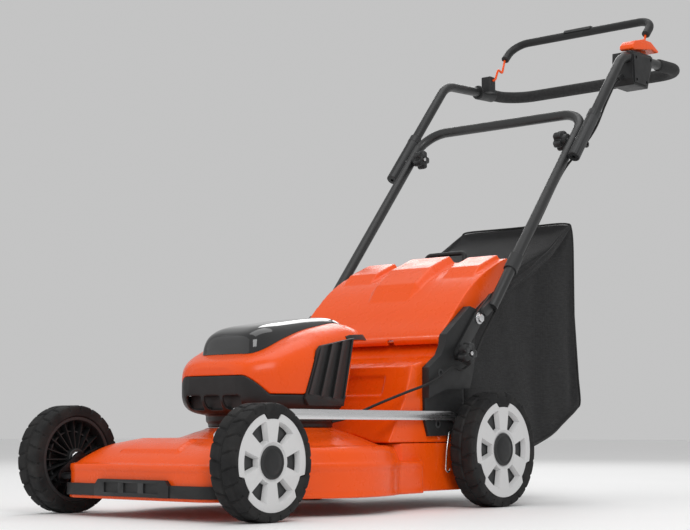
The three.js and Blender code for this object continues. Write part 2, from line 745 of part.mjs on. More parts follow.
function cableClip() {
  const [low, high] = [besideLeg(424, 0), besideLeg(452, 0)];
  const band = tube([[LEG_X, ...low], [LEG_X, ...high]], 1, 12.6, 12);
  const guide = tube([[LEG_X, ...besideLeg(428, 13)], [LEG_X, ...besideLeg(448, 13)]], 1, 5, 10);
  const legBore = tube([[LEG_X, ...besideLeg(400, 0)], [LEG_X, ...besideLeg(480, 0)]], 1, TUBE + 0.8, 12);
  const cableBore = tube([[LEG_X, ...besideLeg(400, 13)], [LEG_X, ...besideLeg(480, 13)]], 1, 2.6, 8);
  return cut(joined(band, guide), legBore, cableBore);
}

// ---- rear flap ----
const FLAP_TOP = [
  [200, 284], [207, 301], [235, 329], [268, 363], [306, 396], [346, 421], [401, 446], [418, 451],
];
const FLAP_SIDE = [[418, 430], [401, 402], [346, 372], [306, 345], [268, 310], [240, 277], [212, 268]];

function dropped(points, down, inward = 0) {
  return points.map(([y, z]) => [y + inward, z - down]);
}

function dischargeFlap() {
  const outer = prismX([...FLAP_TOP, ...FLAP_SIDE], -FLAP_HALF, FLAP_HALF);
  const inner = prismX(
    [...dropped(FLAP_TOP, 4, 1.5), [430, 446], [430, 400], ...dropped(FLAP_TOP, 60).reverse()],
    4 - FLAP_HALF, FLAP_HALF - 4,
  );
  const bulge = prismX(
    [[262, 354], [300, 404], [345, 437], [408, 463], [414, 446], [346, 419], [306, 394]], -54, 54,
  );
  const shell = joined(cut(outer, inner), bulge);
  return cut(shell, rodX(3.4, [-200, 200], FLAP_HINGE, 12));
}

function hingeRod() {
  return rodX(3, [-171.6, 171.6], FLAP_HINGE, 10);
}

// ---- grass bag ----
const BAG_RINGS = [
  // top y, z; bottom y, z; half width
  [292, 352, 292, 112, 158], [346, 400, 340, 102, 160], [401, 429, 420, 94, 160],
  [500, 468, 520, 95, 156], [600, 509, 608, 116, 150], [662, 536, 682, 148, 147], [704, 556, 738, 172, 141],
];

function bagRing([topY, topZ, bottomY, bottomZ, half], inset, shift) {
  const corner = 22;
  const height = topZ - bottomZ - 2 * inset;
  return planOutline(half - inset, 0, height, corner, 3).map(([x, up]) => {
    const share = up / height;
    return [x, bottomY + (topY - bottomY) * share + shift, bottomZ + inset + up];
  });
}

function bagFabric() {
  const outer = loft(BAG_RINGS.map((ring) => bagRing(ring, 0, 0)));
  const last = BAG_RINGS.length - 1;
  const shifts = (i) => (i === 0 ? -5 : 0) + (i === last ? -4 : 0);
  const inner = loft(BAG_RINGS.map((ring, i) => bagRing(ring, 4, shifts(i))));
  return cut(outer, inner);
}

function bagFrame() {
  const outer = planOutline(158, 0, 231, 20, 4).map(([x, up]) => [x, up + 113]);
  const space = planOutline(149, 0, 213, 14, 4).map(([x, up]) => [x, up + 122]);
  const lay = (outline, y0, y1) => loft([y0, y1].map((y) => outline.map(([x, z]) => [x, y, z])));
  return cut(lay(outer, MOUTH_Y + 3, 291.6), lay(space, 200, 320));
}

function bagHandle() {
  return tube([[48, 452, 454], [44, 460, 474], [-44, 460, 474], [-48, 452, 454]], 10, 4.5, 8, 3);
}

// ---- assembly ----
piece('deck_shell', deckShell(), orange());
piece('front_bumper', frontBumper(), blackPlastic());
piece('chute_housing', chuteHousing(), orange());
piece('housing_base', housingBase(), blackPlastic());
piece('housing_cover', housingCover(), orange());
pair('vent_grille', ventGrille(), blackPlastic);
piece('battery_pack', box([-45, 45], [-112, 24], [216.4, 272]), blackPlastic());
piece('battery_lid', batteryLid(), glossBlack());
piece('motor_stator', motorStator(), darkSteel());
piece('motor_rotor', motorRotor(), steel());
piece('blade_holder', bladeHolder(), blackPlastic());
piece('blade', blade(), darkSteel());
piece('blade_bolt', bladeBolt(), steel());
for (const side of ['left', 'right']) {
  addWheel('front', side, FRONT_WHEEL);
  addWheel('rear', side, REAR_WHEEL);
}
piece('front_axle', crankedAxle(FRONT_PIVOT), darkSteel());
piece('rear_axle', crankedAxle(REAR_PIVOT), darkSteel());
piece('link_bar', linkBar(), steel());
piece('height_lever', heightLever(), blackPlastic());
pair('handle_bracket', handleBracket(), blackPlastic);
pair('handle_bolt', handleBolt(), steel);
pair('lower_knob', starKnob(LOCK, 192.8, 217, [187.6, 194]), blackPlastic);
pair('upper_knob', starKnob(UPPER_FOLD, 163, 188.6, [188, 231]), blackPlastic);
piece('lower_handle', lowerHandle(), blackPaint());
piece('upper_handle', upperHandle(), blackPaint());
pair('upper_sleeve', upperSleeve(), blackPlastic);
piece('grip', gripSleeve(), foam());
piece('control_box', controlBox(), blackPlastic());
piece('start_paddle', startPaddle(), orange());
piece('bail_clamp', bailClamp(), blackPlastic());
piece('bail_bar', bailBar(), blackPlastic());
pair('bail_wire', bailWire(), orange);
piece('cable_lower', cableLower(), rubber());
piece('cable_middle', cableMiddle(), rubber());
piece('cable_upper', cableUpper(), rubber());
piece('cable_clip', cableClip(), blackPlastic());
piece('flap_rod', hingeRod(), steel());
piece('discharge_flap', dischargeFlap(), orange());
piece('bag_fabric', bagFabric(), fabric());
piece('bag_frame', bagFrame(), blackPlastic());
piece('bag_handle', bagHandle(), blackPlastic());

export default mower;
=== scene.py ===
# Looks of the battery push lawn mower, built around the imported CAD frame.
# Shapes are laid out in millimetres with Y = 0 midway between the axles, as the CAD part is,
# and make() turns them into metres in the frame.
import json
import math

import bmesh
import bpy
import numpy as np
from mathutils import Matrix, Vector

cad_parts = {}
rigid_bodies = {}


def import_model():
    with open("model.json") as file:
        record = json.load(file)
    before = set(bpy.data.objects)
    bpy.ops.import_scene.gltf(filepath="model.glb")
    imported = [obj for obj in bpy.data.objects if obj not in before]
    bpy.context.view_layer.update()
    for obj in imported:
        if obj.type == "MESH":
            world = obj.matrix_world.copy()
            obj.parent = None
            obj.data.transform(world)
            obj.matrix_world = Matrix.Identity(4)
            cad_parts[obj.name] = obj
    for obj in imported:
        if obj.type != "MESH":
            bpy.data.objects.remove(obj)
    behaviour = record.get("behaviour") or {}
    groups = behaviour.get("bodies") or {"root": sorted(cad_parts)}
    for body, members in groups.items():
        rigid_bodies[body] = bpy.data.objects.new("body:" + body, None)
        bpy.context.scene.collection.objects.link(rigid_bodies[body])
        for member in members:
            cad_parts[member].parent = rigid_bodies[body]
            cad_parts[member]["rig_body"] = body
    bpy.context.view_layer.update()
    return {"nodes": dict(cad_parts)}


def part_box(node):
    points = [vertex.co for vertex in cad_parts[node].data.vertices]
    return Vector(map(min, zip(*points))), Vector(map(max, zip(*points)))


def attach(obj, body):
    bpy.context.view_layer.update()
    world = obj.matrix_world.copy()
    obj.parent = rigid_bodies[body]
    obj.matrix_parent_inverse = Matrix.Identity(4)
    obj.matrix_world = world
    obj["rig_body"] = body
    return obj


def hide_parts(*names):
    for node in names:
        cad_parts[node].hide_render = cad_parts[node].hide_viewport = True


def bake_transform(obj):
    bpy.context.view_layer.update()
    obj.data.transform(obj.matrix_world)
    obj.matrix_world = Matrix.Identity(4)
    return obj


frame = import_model()

# ---- driving dimensions, millimetres ----
CENTRE_Y = 332.0
AXLE_Y = 300.0
WHEEL_X = 214.5
WHEEL_HALF = 23.5
WHEELS = {"front": (87.0, 72.4), "rear": (100.0, 83.0)}
MOTOR_Y = -46.0
DECK_BOTTOM = 28.0
CHAMBER = 218.0
NOSE_HALF = 168.0
NOSE_FRONT = -352.0
DECK_TOP = 137.5
REAR_HALF = 165.0
REAR_END = 275.0
TOWER_HALF = 172.0
TOWER_TOP_HALF = 164.0
MOUTH_Y = 262.0
HOUSING_MIDDLE = 205.0
FOLD = (291.0, 331.0)
LOCK = (232.0, 266.0)
LEG_X = 199.0
TUBE = 10.0
UPPER_X = 221.5
UPPER_FOLD = (609.7, 700.4)
LEG_ANGLE = math.radians(50.3)
CROSSBAR = (664.0, 763.0)
HANDLE_BEND = (771.0, 894.0)
GRIP_REAR = (1038.0, 908.0)
BAIL_PIVOT = (905.0, 925.0)
FLAP_HINGE = (203.0, 291.0)
FLAP_HALF = 171.0
FRONT_PIVOT = (-334.0, 61.0)
REAR_PIVOT = (266.0, 74.0)


# ---- camera, light and stage ----
def build_stage():
    camera = bpy.data.cameras.new("camera")
    camera.lens = 80.6
    camera.sensor_width = 36.0
    seat = bpy.data.objects.new("camera", camera)
    seat.location = (1.7579, -2.3051, 0.1354)
    seat.rotation_euler = (math.radians(96.06), 0.0, math.radians(39.62))
    bpy.context.scene.collection.objects.link(seat)
    bpy.context.scene.camera = seat
    bpy.context.scene.view_settings.view_transform = "Standard"

    bpy.ops.mesh.primitive_plane_add(size=30.0)
    floor = bpy.context.object
    floor.name = "studio_floor"
    look = Look("floor_paper")
    look.colour(look.mixed(look.noise(3.0, 2), (0.90, 0.90, 0.90), (0.94, 0.94, 0.94)))
    look.shader.inputs["Roughness"].default_value = 0.6
    floor.data.materials.append(look.material)

    world = bpy.data.worlds.new("studio")
    world.use_nodes = True
    world.node_tree.nodes["Background"].inputs[0].default_value = (1.0, 1.0, 1.0, 1.0)
    world.node_tree.nodes["Background"].inputs[1].default_value = 0.55
    bpy.context.scene.world = world
    softboxes = [
        ("key_light", (2.4, -1.9, 2.6), 1.8, 44.0),
        ("fill_light", (-1.8, -2.8, 1.7), 3.6, 14.0),
        ("top_light", (0.0, 0.3, 3.2), 2.2, 20.0),
        ("rim_light", (-1.6, 2.4, 2.2), 1.6, 22.0),
    ]
    for name, place, size, power in softboxes:
        lamp = bpy.data.lights.new(name, "AREA")
        lamp.size = size
        lamp.energy = power
        holder = bpy.data.objects.new(name, lamp)
        holder.location = place
        aim = Vector((0.0, -0.1, 0.35)) - Vector(place)
        holder.rotation_euler = aim.to_track_quat("-Z", "Y").to_euler()
        bpy.context.scene.collection.objects.link(holder)


# ---- materials ----
class Look:
    """A node material on object coordinates, so that its grain keeps its size on every piece."""

    def __init__(self, name):
        self.material = bpy.data.materials.new(name)
        self.material.use_nodes = True
        self.tree = self.material.node_tree
        self.shader = self.tree.nodes["Principled BSDF"]
        self.place = self.tree.nodes.new("ShaderNodeTexCoord").outputs["Object"]

    def node(self, kind, **links):
        made = self.tree.nodes.new(kind)
        for name, value in links.items():
            socket = made.inputs[name.replace("_", " ")]
            if isinstance(value, bpy.types.NodeSocket):
                self.tree.links.new(value, socket)
            else:
                socket.default_value = value
        return made

    def stretched(self, factors):
        mapping = self.node("ShaderNodeMapping", Vector=self.place)
        mapping.inputs["Scale"].default_value = factors
        return mapping.outputs[0]

    def noise(self, scale, detail=3.0, place=None):
        return self.node(
            "ShaderNodeTexNoise", Vector=place or self.place, Scale=scale, Detail=detail
        ).outputs["Fac"]

    def cells(self, scale):
        return self.node("ShaderNodeTexVoronoi", Vector=self.place, Scale=scale).outputs["Distance"]

    def wave(self, direction, scale, distortion=0.4):
        made = self.node(
            "ShaderNodeTexWave", Vector=self.place, Scale=scale, Distortion=distortion
        )
        made.bands_direction = direction
        return made.outputs["Fac"]

    def span(self, value, low, high, start=0.3, end=0.7):
        made = self.node("ShaderNodeMapRange", Value=value)
        made.inputs["From Min"].default_value = start
        made.inputs["From Max"].default_value = end
        made.inputs["To Min"].default_value = low
        made.inputs["To Max"].default_value = high
        return made.outputs[0]

    def math(self, operation, first, second):
        made = self.tree.nodes.new("ShaderNodeMath")
        made.operation = operation
        for socket, value in zip(made.inputs, (first, second)):
            if isinstance(value, bpy.types.NodeSocket):
                self.tree.links.new(value, socket)
            else:
                socket.default_value = value
        return made.outputs[0]

    def mixed(self, amount, first, second):
        made = self.tree.nodes.new("ShaderNodeMix")
        made.data_type = "RGBA"
        self.tree.links.new(amount, made.inputs[0])
        for socket, value in ((made.inputs[6], first), (made.inputs[7], second)):
            if isinstance(value, bpy.types.NodeSocket):
                self.tree.links.new(value, socket)
            else:
                socket.default_value = (*value, 1.0)
        return made.outputs[2]

    # Pointiness mask that lightens convex edges: painted highlight along the edges.
    def painted_edge_highlight(self, low=0.53, high=0.62):
        pointed = self.tree.nodes.new("ShaderNodeNewGeometry").outputs["Pointiness"]
        return self.span(pointed, 0.0, 1.0, low, high)

    def colour(self, socket):
        self.tree.links.new(socket, self.shader.inputs["Base Color"])

    def roughness(self, socket):
        self.tree.links.new(socket, self.shader.inputs["Roughness"])

    def bump(self, height, strength, distance):
        made = self.node("ShaderNodeBump", Height=height, Strength=strength, Distance=distance)
        self.tree.links.new(made.outputs[0], self.shader.inputs["Normal"])

    def set(self, **values):
        for name, value in values.items():
            self.shader.inputs[name.replace("_", " ")].default_value = value


def orange_plastic():
    look = Look("orange_plastic")
    tint = look.mixed(look.noise(9.0, 2), (0.86, 0.082, 0.002), (0.92, 0.098, 0.003))
    # Convex edges turn a lighter orange: painted highlight along the edges.
    look.colour(look.mixed(look.painted_edge_highlight(0.55, 0.70), tint, (0.94, 0.14, 0.012)))
    look.roughness(look.span(look.noise(38.0, 4), 0.22, 0.36))
    look.bump(look.noise(700.0, 2), 0.03, 0.0002)
    look.set(Specular_IOR_Level=0.32, Coat_Weight=0.12, Coat_Roughness=0.1)
    return look.material


def grained_black(name, dark, light, rough, grain):
    look = Look(name)
    tint = look.mixed(look.noise(22.0, 3), dark, light)
    # edge is a lighter tone for convex edges: painted highlight along the edges.
    edge = tuple(min(1.0, 2.1 * part) for part in light)
    look.colour(look.mixed(look.painted_edge_highlight(), tint, edge))
    look.roughness(look.span(look.noise(60.0, 3), rough - 0.07, rough + 0.08))
    look.bump(look.cells(grain), 0.25, 0.0003)
    look.set(Specular_IOR_Level=0.3)
    return look.material


def gloss_black():
    look = Look("gloss_black")
    look.colour(look.mixed(look.noise(12.0), (0.004, 0.004, 0.0045), (0.007, 0.007, 0.008)))
    look.roughness(look.span(look.noise(26.0, 5), 0.04, 0.12))
    look.bump(look.noise(18.0, 1), 0.02, 0.0005)
    look.set(Coat_Weight=0.6, Coat_Roughness=0.03)
    return look.material


def tyre_rubber():
    look = Look("tyre_rubber")
    dust = look.span(look.noise(30.0, 6), 0.0, 1.0, 0.42, 0.75)
    look.colour(look.mixed(dust, (0.013, 0.013, 0.0135), (0.030, 0.029, 0.028)))
    look.roughness(look.span(look.noise(80.0, 3), 0.62, 0.85))
    look.bump(look.noise(900.0, 3), 0.3, 0.0003)
    look.set(Specular_IOR_Level=0.22)
    return look.material


def grey_plastic():
    look = Look("grey_plastic")
    tint = look.mixed(look.noise(35.0, 3), (0.40, 0.40, 0.405), (0.46, 0.46, 0.465))
    # Convex edges turn a lighter grey: painted highlight along the edges.
    look.colour(look.mixed(look.painted_edge_highlight(0.54, 0.66), tint, (0.62, 0.62, 0.62)))
    look.roughness(look.span(look.noise(90.0, 3), 0.36, 0.5))
    look.bump(look.cells(1500.0), 0.12, 0.0002)
    return look.material


def black_paint():
    look = Look("black_paint")
    look.colour(look.mixed(look.noise(40.0, 3), (0.016, 0.0165, 0.017), (0.025, 0.0255, 0.026)))
    look.roughness(look.span(look.noise(120.0, 3), 0.34, 0.48))
    look.bump(look.noise(600.0, 2), 0.22, 0.0004)
    look.set(Metallic=0.15, Coat_Weight=0.15, Coat_Roughness=0.25)
    return look.material


def metal(name, dark, light, low, high):
    look = Look(name)
    brushed = look.noise(260.0, 5, look.stretched((1.0, 0.04, 1.0)))
    look.colour(look.mixed(brushed, dark, light))
    look.roughness(look.span(brushed, low, high))
    look.bump(brushed, 0.08, 0.0002)
    look.set(Metallic=1.0)
    return look.material


def woven_cloth():
    look = Look("woven_cloth")
    threads = look.math("ADD", look.wave("X", 330.0), look.wave("Y", 330.0))
    weave = look.math("ADD", threads, look.wave("Z", 330.0))
    patches = look.noise(14.0, 4)
    slubs = look.noise(420.0, 2, look.stretched((1.0, 0.15, 1.0)))
    base = look.mixed(patches, (0.014, 0.014, 0.0145), (0.022, 0.022, 0.0225))
    look.colour(look.mixed(look.span(slubs, 0.0, 0.45), base, (0.042, 0.042, 0.043)))
    look.roughness(look.span(patches, 0.8, 0.95))
    look.bump(weave, 0.35, 0.0005)
    look.set(Specular_IOR_Level=0.15, Sheen_Weight=0.06, Sheen_Roughness=0.5)
    return look.material


def soft_foam():
    look = Look("soft_foam")
    look.colour(look.mixed(look.noise(160.0, 4), (0.010, 0.010, 0.0105), (0.022, 0.022, 0.022)))
    look.roughness(look.span(look.noise(220.0, 3), 0.68, 0.9))
    look.bump(look.cells(1300.0), 0.5, 0.0005)
    return look.material


MATERIALS = {
    "orange_plastic": orange_plastic(),
    "black_plastic": grained_black(
        "black_plastic", (0.014, 0.0145, 0.015), (0.022, 0.0225, 0.023), 0.46, 1400.0
    ),
    "gloss_black": gloss_black(),
    "tyre_rubber": tyre_rubber(),
    "grey_plastic": grey_plastic(),
    "black_paint": black_paint(),
    "bright_steel": metal("bright_steel", (0.62, 0.62, 0.63), (0.84, 0.84, 0.85), 0.2, 0.36),
    "dark_steel": metal("dark_steel", (0.025, 0.025, 0.027), (0.07, 0.07, 0.073), 0.36, 0.52),
    "bag_cloth": woven_cloth(),
    "grip_foam": soft_foam(),
    "cable_rubber": grained_black("cable_rubber", (0.010, 0.010, 0.010), (0.018, 0.018, 0.018), 0.6, 900.0),
}


# ---- mesh tools ----
def make(name, verts, faces, matrix=None):
    """A closed mesh from points in layout millimetres."""
    points = np.asarray(verts, float)
    if matrix is not None:
        turned = np.c_[points, np.ones(len(points))] @ np.array(matrix).T
        points = turned[:, :3]
    points = (points - np.array((0.0, CENTRE_Y, 0.0))) / 1000.0
    mesh = bpy.data.meshes.new(name)
    mesh.from_pydata(points.tolist(), [], [list(face) for face in faces])
    build = bmesh.new()
    build.from_mesh(mesh)
    bmesh.ops.remove_doubles(build, verts=build.verts, dist=2e-6)
    bmesh.ops.dissolve_degenerate(build, edges=build.edges, dist=1e-6)
    bmesh.ops.recalc_face_normals(build, faces=build.faces)
    build.to_mesh(mesh)
    build.free()
    made = bpy.data.objects.new(name, mesh)
    bpy.context.scene.collection.objects.link(made)
    return made


def bake(piece):
    """Puts the piece's modifiers into its mesh."""
    bpy.context.view_layer.update()
    result = piece.evaluated_get(bpy.context.evaluated_depsgraph_get())
    mesh = bpy.data.meshes.new_from_object(result)
    piece.modifiers.clear()
    piece.data = mesh
    return piece


def combine(piece, operation, tools):
    for tool in tools:
        step = piece.modifiers.new("step", "BOOLEAN")
        step.operation = operation
        step.object = tool
        step.solver = "MANIFOLD"
    bake(piece)
    for tool in tools:
        bpy.data.objects.remove(tool)
    return piece


def union(piece, *tools):
    return combine(piece, "UNION", tools)


def minus(piece, *tools):
    return combine(piece, "DIFFERENCE", tools)


def common(piece, *tools):
    return combine(piece, "INTERSECT", tools)


def bevelled(piece, width, segments=2, angle=28.0):
    build = bmesh.new()
    build.from_mesh(piece.data)
    bmesh.ops.remove_doubles(build, verts=build.verts, dist=1e-5)
    bmesh.ops.dissolve_limit(
        build, angle_limit=math.radians(0.6), verts=build.verts, edges=build.edges
    )
    hollow_faces = [face for face in build.faces if len(face.verts) > 4]
    bmesh.ops.triangulate(build, faces=hollow_faces, ngon_method="EAR_CLIP")
    build.to_mesh(piece.data)
    build.free()
    edge = piece.modifiers.new("edge", "BEVEL")
    edge.width = width / 1000.0
    edge.segments = segments
    edge.limit_method = "ANGLE"
    edge.angle_limit = math.radians(angle)
    edge.miter_outer = "MITER_ARC"
    return bake(piece)


def moulded(piece, voxel, rounds):
    """Rounds every inner and outer edge, as a moulding has them."""
    grid = piece.modifiers.new("grid", "REMESH")
    grid.mode = "VOXEL"
    grid.voxel_size = voxel / 1000.0
    soften = piece.modifiers.new("soften", "SMOOTH")
    soften.factor = 0.5
    soften.iterations = rounds
    return bake(piece)


def finished(piece, name, body, slot, replaces=(), smooth=32.0):
    piece.name = name
    piece.data.name = name
    if piece.type == "MESH":
        piece.data.shade_smooth()
        piece.data.set_sharp_from_angle(angle=math.radians(smooth))
    piece.data.materials.clear()
    piece.data.materials.append(MATERIALS[slot])
    if replaces:
        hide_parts(*replaces)
    if body:
        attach(piece, body)
    return piece


# ---- basic shapes ----
def arc(centre, radius, start, end, steps):
    angles = np.radians(np.linspace(start, end, steps + 1))
    return [(centre[0] + radius * math.cos(a), centre[1] + radius * math.sin(a)) for a in angles]


def slot_outline(a, b, radius, steps=10):
    along = math.degrees(math.atan2(b[1] - a[1], b[0] - a[0]))
    return [
        *arc(a, radius, along + 90, along + 270, steps),
        *arc(b, radius, along - 90, along + 90, steps),
    ]


def plan_outline(half, front, rear, radius, steps=10):
    return [
        *arc((half - radius, front + radius), radius, -90, 0, steps),
        *arc((half - radius, rear - radius), radius, 0, 90, steps),
        *arc((radius - half, rear - radius), radius, 90, 180, steps),
        *arc((radius - half, front + radius), radius, 180, 270, steps),
    ]


def loft(rings, name="loft", capped=True, matrix=None):
    count = len(rings[0])
    faces = []
    for r in range(len(rings) - 1):
        for i in range(count):
            a, b = r * count + i, r * count + (i + 1) % count
            faces.append((a, b, b + count, a + count))
    if capped:
        faces.append(tuple(reversed(range(count))))
        faces.append(tuple(range((len(rings) - 1) * count, len(rings) * count)))
    return make(name, [point for ring in rings for point in ring], faces, matrix)


def prism(axis, outline, low, high, matrix=None):
    order = {
        "x": lambda a, b, c: (c, a, b),
        "y": lambda a, b, c: (a, c, b),
        "z": lambda a, b, c: (a, b, c),
    }[axis]
    return loft([[order(a, b, level) for a, b in outline] for level in (low, high)], matrix=matrix)


def box(x, y, z, matrix=None):
    outline = [(x[0], y[0]), (x[1], y[0]), (x[1], y[1]), (x[0], y[1])]
    return prism("z", outline, z[0], z[1], matrix)


def lathe(axis, profile, steps, place=(0.0, 0.0), matrix=None):
    """Turned body. Its profile holds (along, radius) points and closes on itself or on the axis."""
    rings = []
    for angle in np.linspace(0, 2 * math.pi, steps, endpoint=False):
        c, s = math.cos(angle), math.sin(angle)
        if axis == "x":
            rings.append([(u, place[0] + r * c, place[1] + r * s) for u, r in profile])
        else:
            rings.append([(place[0] + r * c, place[1] + r * s, u) for u, r in profile])
    count = len(profile)
    faces = []
    for k in range(steps):
        after = (k + 1) % steps
        for i in range(count):
            j = (i + 1) % count
            faces.append((k * count + i, after * count + i, after * count + j, k * count + j))
    return make("lathe", [point for ring in rings for point in ring], faces, matrix)


def rod_x(radius, x, at, steps=32):
    return lathe("x", [(x[0], 0.0), (x[0], radius), (x[1], radius), (x[1], 0.0)], steps, at)


def rod_z(radius, z, at, steps=64):
    return lathe("z", [(z[0], 0.0), (z[0], radius), (z[1], radius), (z[1], 0.0)], steps, at)


def eased(rows, count):
    """Rows of numbers carried through as smooth curves."""
    rows = np.asarray(rows, float)
    at = np.linspace(0, len(rows) - 1, count)
    padded = np.vstack([2 * rows[0] - rows[1], rows, 2 * rows[-1] - rows[-2]])
    index = np.minimum(at.astype(int), len(rows) - 2)
    t = (at - index)[:, None]
    p0, p1, p2, p3 = (padded[index + k] for k in range(4))
    return 0.5 * (
        2 * p1 + (p2 - p0) * t + (2 * p0 - 5 * p1 + 4 * p2 - p3) * t**2
        + (3 * p1 - p0 - 3 * p2 + p3) * t**3
    )


def bent(corners, bend, steps=10, straight=1):
    """Straight runs joined by round bends."""
    points = [np.asarray(corner, float) for corner in corners]
    route = [points[0]]
    for before, corner, after in zip(points, points[1:], points[2:]):
        arrive = (corner - before) / np.linalg.norm(corner - before)
        leave = (after - corner) / np.linalg.norm(after - corner)
        half = math.acos(max(-1.0, min(1.0, float(arrive @ leave)))) / 2
        if half < 1e-3:
            continue
        start = corner - arrive * bend * math.tan(half)
        inward = leave - arrive * float(arrive @ leave)
        inward /= np.linalg.norm(inward)
        for turn in np.linspace(0, 2 * half, steps + 1):
            route.append(
                start + arrive * bend * math.sin(turn) + inward * bend * (1 - math.cos(turn))
            )
    route.append(points[-1])
    return route


def sweep(route, radius, sides=28, soft_end=0.8, name="tube"):
    """Round body along a route. radius is a number, or one for each point of the route."""
    route = [np.asarray(point, float) for point in route]
    radii = list(radius) if hasattr(radius, "__len__") else [float(radius)] * len(route)
    first, last = route[1] - route[0], route[-1] - route[-2]
    first, last = first / np.linalg.norm(first), last / np.linalg.norm(last)
    route = [route[0], route[0] + first * soft_end, *route[1:-1], route[-1] - last * soft_end, route[-1]]
    radii = [radii[0] - soft_end, radii[0], *radii[1:-1], radii[-1], radii[-1] - soft_end]
    tangent = first
    across = np.cross(tangent, (0.0, 0.0, 1.0))
    if np.linalg.norm(across) < 1e-3:
        across = np.cross(tangent, (1.0, 0.0, 0.0))
    rings = []
    for k, (point, r) in enumerate(zip(route, radii)):
        ahead = route[min(k + 1, len(route) - 1)] - route[max(k - 1, 0)]
        tangent = ahead / np.linalg.norm(ahead)
        across = across - tangent * float(across @ tangent)
        across /= np.linalg.norm(across)
        upward = np.cross(tangent, across)
        turns = np.linspace(0, 2 * math.pi, sides, endpoint=False)
        rings.append([point + r * (across * math.cos(a) + upward * math.sin(a)) for a in turns])
    return loft(rings, name)


def refined(node, slot, width=0.7, segments=2, angle=28.0, smooth=38.0):
    """The CAD node's own shape with rounded edges."""
    source = frame["nodes"][node]
    made = bpy.data.objects.new(node, source.data.copy())
    bpy.context.scene.collection.objects.link(made)
    bevelled(made, width, segments, angle)
    return finished(made, node + "_finished", source["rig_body"], slot, [node], smooth)


# ---- deck ----
def skirt_outline(grow):
    radius = CHAMBER + grow
    nose_meet = -math.degrees(math.acos((NOSE_HALF + grow) / radius))
    rear_meet = math.degrees(math.asin(107.0 / radius))
    corner = 34.0
    half = [
        *arc((NOSE_HALF - corner, NOSE_FRONT + corner), corner + grow, -90, 0, 14),
        *arc((0.0, MOTOR_Y), radius, nose_meet, rear_meet, 60),
        (184.0 + grow, 135.0),
        (REAR_HALF + grow, 150.0),
    ]
    return half + [(-x, y) for x, y in reversed(half)]


def nose_rings(rows, lift=0.0):
    return [
        [(x, y, z + lift) for x, y in plan_outline(half, front, -100.0, radius, 14)]
        for z, half, front, radius in rows
    ]


NOSE_ROWS = [
    (70, 168, -352, 34), (80, 166, -347, 36), (95, 158, -330, 44), (110, 146, -300, 50), (121, 120, -255, 55),
]
DOME = [
    (60, 218), (80, 218), (83, 215.5), (99, 210), (106, 204), (108.5, 196), (109, 182), (113, 172),
    (121, 152), (130, 126), (134, 112), (137.5, 106),
]


def build_deck():
    deck = prism("z", skirt_outline(0.0), DECK_BOTTOM, 82.0)
    beads = [
        prism("z", skirt_outline(1.6), DECK_BOTTOM, 33.0),
        prism("z", skirt_outline(1.6), 73.0, 81.0),
    ]
    dome = lathe("z", [(60.0, 0.0), *DOME, (DECK_TOP, 0.0)], 180, (0.0, MOTOR_Y))
    nose = loft(nose_rings(eased(NOSE_ROWS, 21)))
    raised = loft(nose_rings(eased(NOSE_ROWS, 21), 4.0))
    pad = prism("z", [(-64, -322), (64, -322), (50, -272), (-50, -272)], 60.0, 150.0)
    panel = common(raised, pad)
    rear = box((-REAR_HALF, REAR_HALF), (110.0, REAR_END), (40.0, 112.0))
    flank = [
        prism("z", [(s * 150, 70), (s * 172, 92), (s * 172, 262), (s * 150, 262)][::s], 30.0, 112.0)
        for s in (1, -1)
    ]
    union(deck, *beads, dome, nose, panel, rear, *flank)
    inner = CHAMBER - 5.0
    chamber = lathe(
        "z", [(10, 0), (10, inner), (80, inner), (94, 206), (104, 190), (115, 150), (129, 106), (129, 0)],
        120, (0.0, MOTOR_Y),
    )
    nose_space = loft(nose_rings([(10, 163, -347, 32), (76, 163, -347, 32), (100, 148, -318, 40)]))
    minus(nose_space, rod_z(CHAMBER, (0.0, 150.0), (0.0, MOTOR_Y)))
    rear_space = box((-155.0, 155.0), (90.0, REAR_END - 5.0), (10.0, 150.0))
    pivots = [rod_x(6.0, (-230.0, 230.0), at) for at in (FRONT_PIVOT, REAR_PIVOT)]
    shaft = rod_z(12.0, (100.0, 160.0), (0.0, MOTOR_Y))
    dishes = [
        lathe("z", [(126.5, 0.0), (126.5, 16.0), (140.0, 30.0), (140.0, 0.0)], 48, (s * 88.0, -150.0))
        for s in (1, -1)
    ]
    minus(deck, chamber, nose_space, rear_space, shaft, *pivots, *dishes)
    moulded(deck, 2.2, 7)
    finished(deck, "deck_moulding", "chassis", "orange_plastic", ["deck_shell"], 60.0)


def build_bumper():
    band = prism("z", plan_outline(173.5, NOSE_FRONT - 5.5, -250.0, 38.0, 14), 33.0, 51.5)
    rise = [(-82, 33), (82, 33), (82, 50), (74, 59), (-74, 59), (-82, 50)]
    middle = prism("y", rise, NOSE_FRONT - 8.0, -330.0)
    union(band, middle)
    nose = prism("z", plan_outline(NOSE_HALF + 0.3, NOSE_FRONT - 0.3, -200.0, 34.0, 14), 20.0, 70.0)
    behind = box((-300.0, 300.0), (-322.0, 0.0), (0.0, 100.0))
    recesses = [
        box((x - 16.0, x + 16.0), (-370.0, NOSE_FRONT - 5.0), (39.0, 54.0)) for x in (-44.0, 0.0, 44.0)
    ]
    minus(band, nose, behind, *recesses)
    bevelled(band, 1.6, 3, 35.0)
    finished(band, "bumper_moulding", "chassis", "black_plastic", ["front_bumper"])


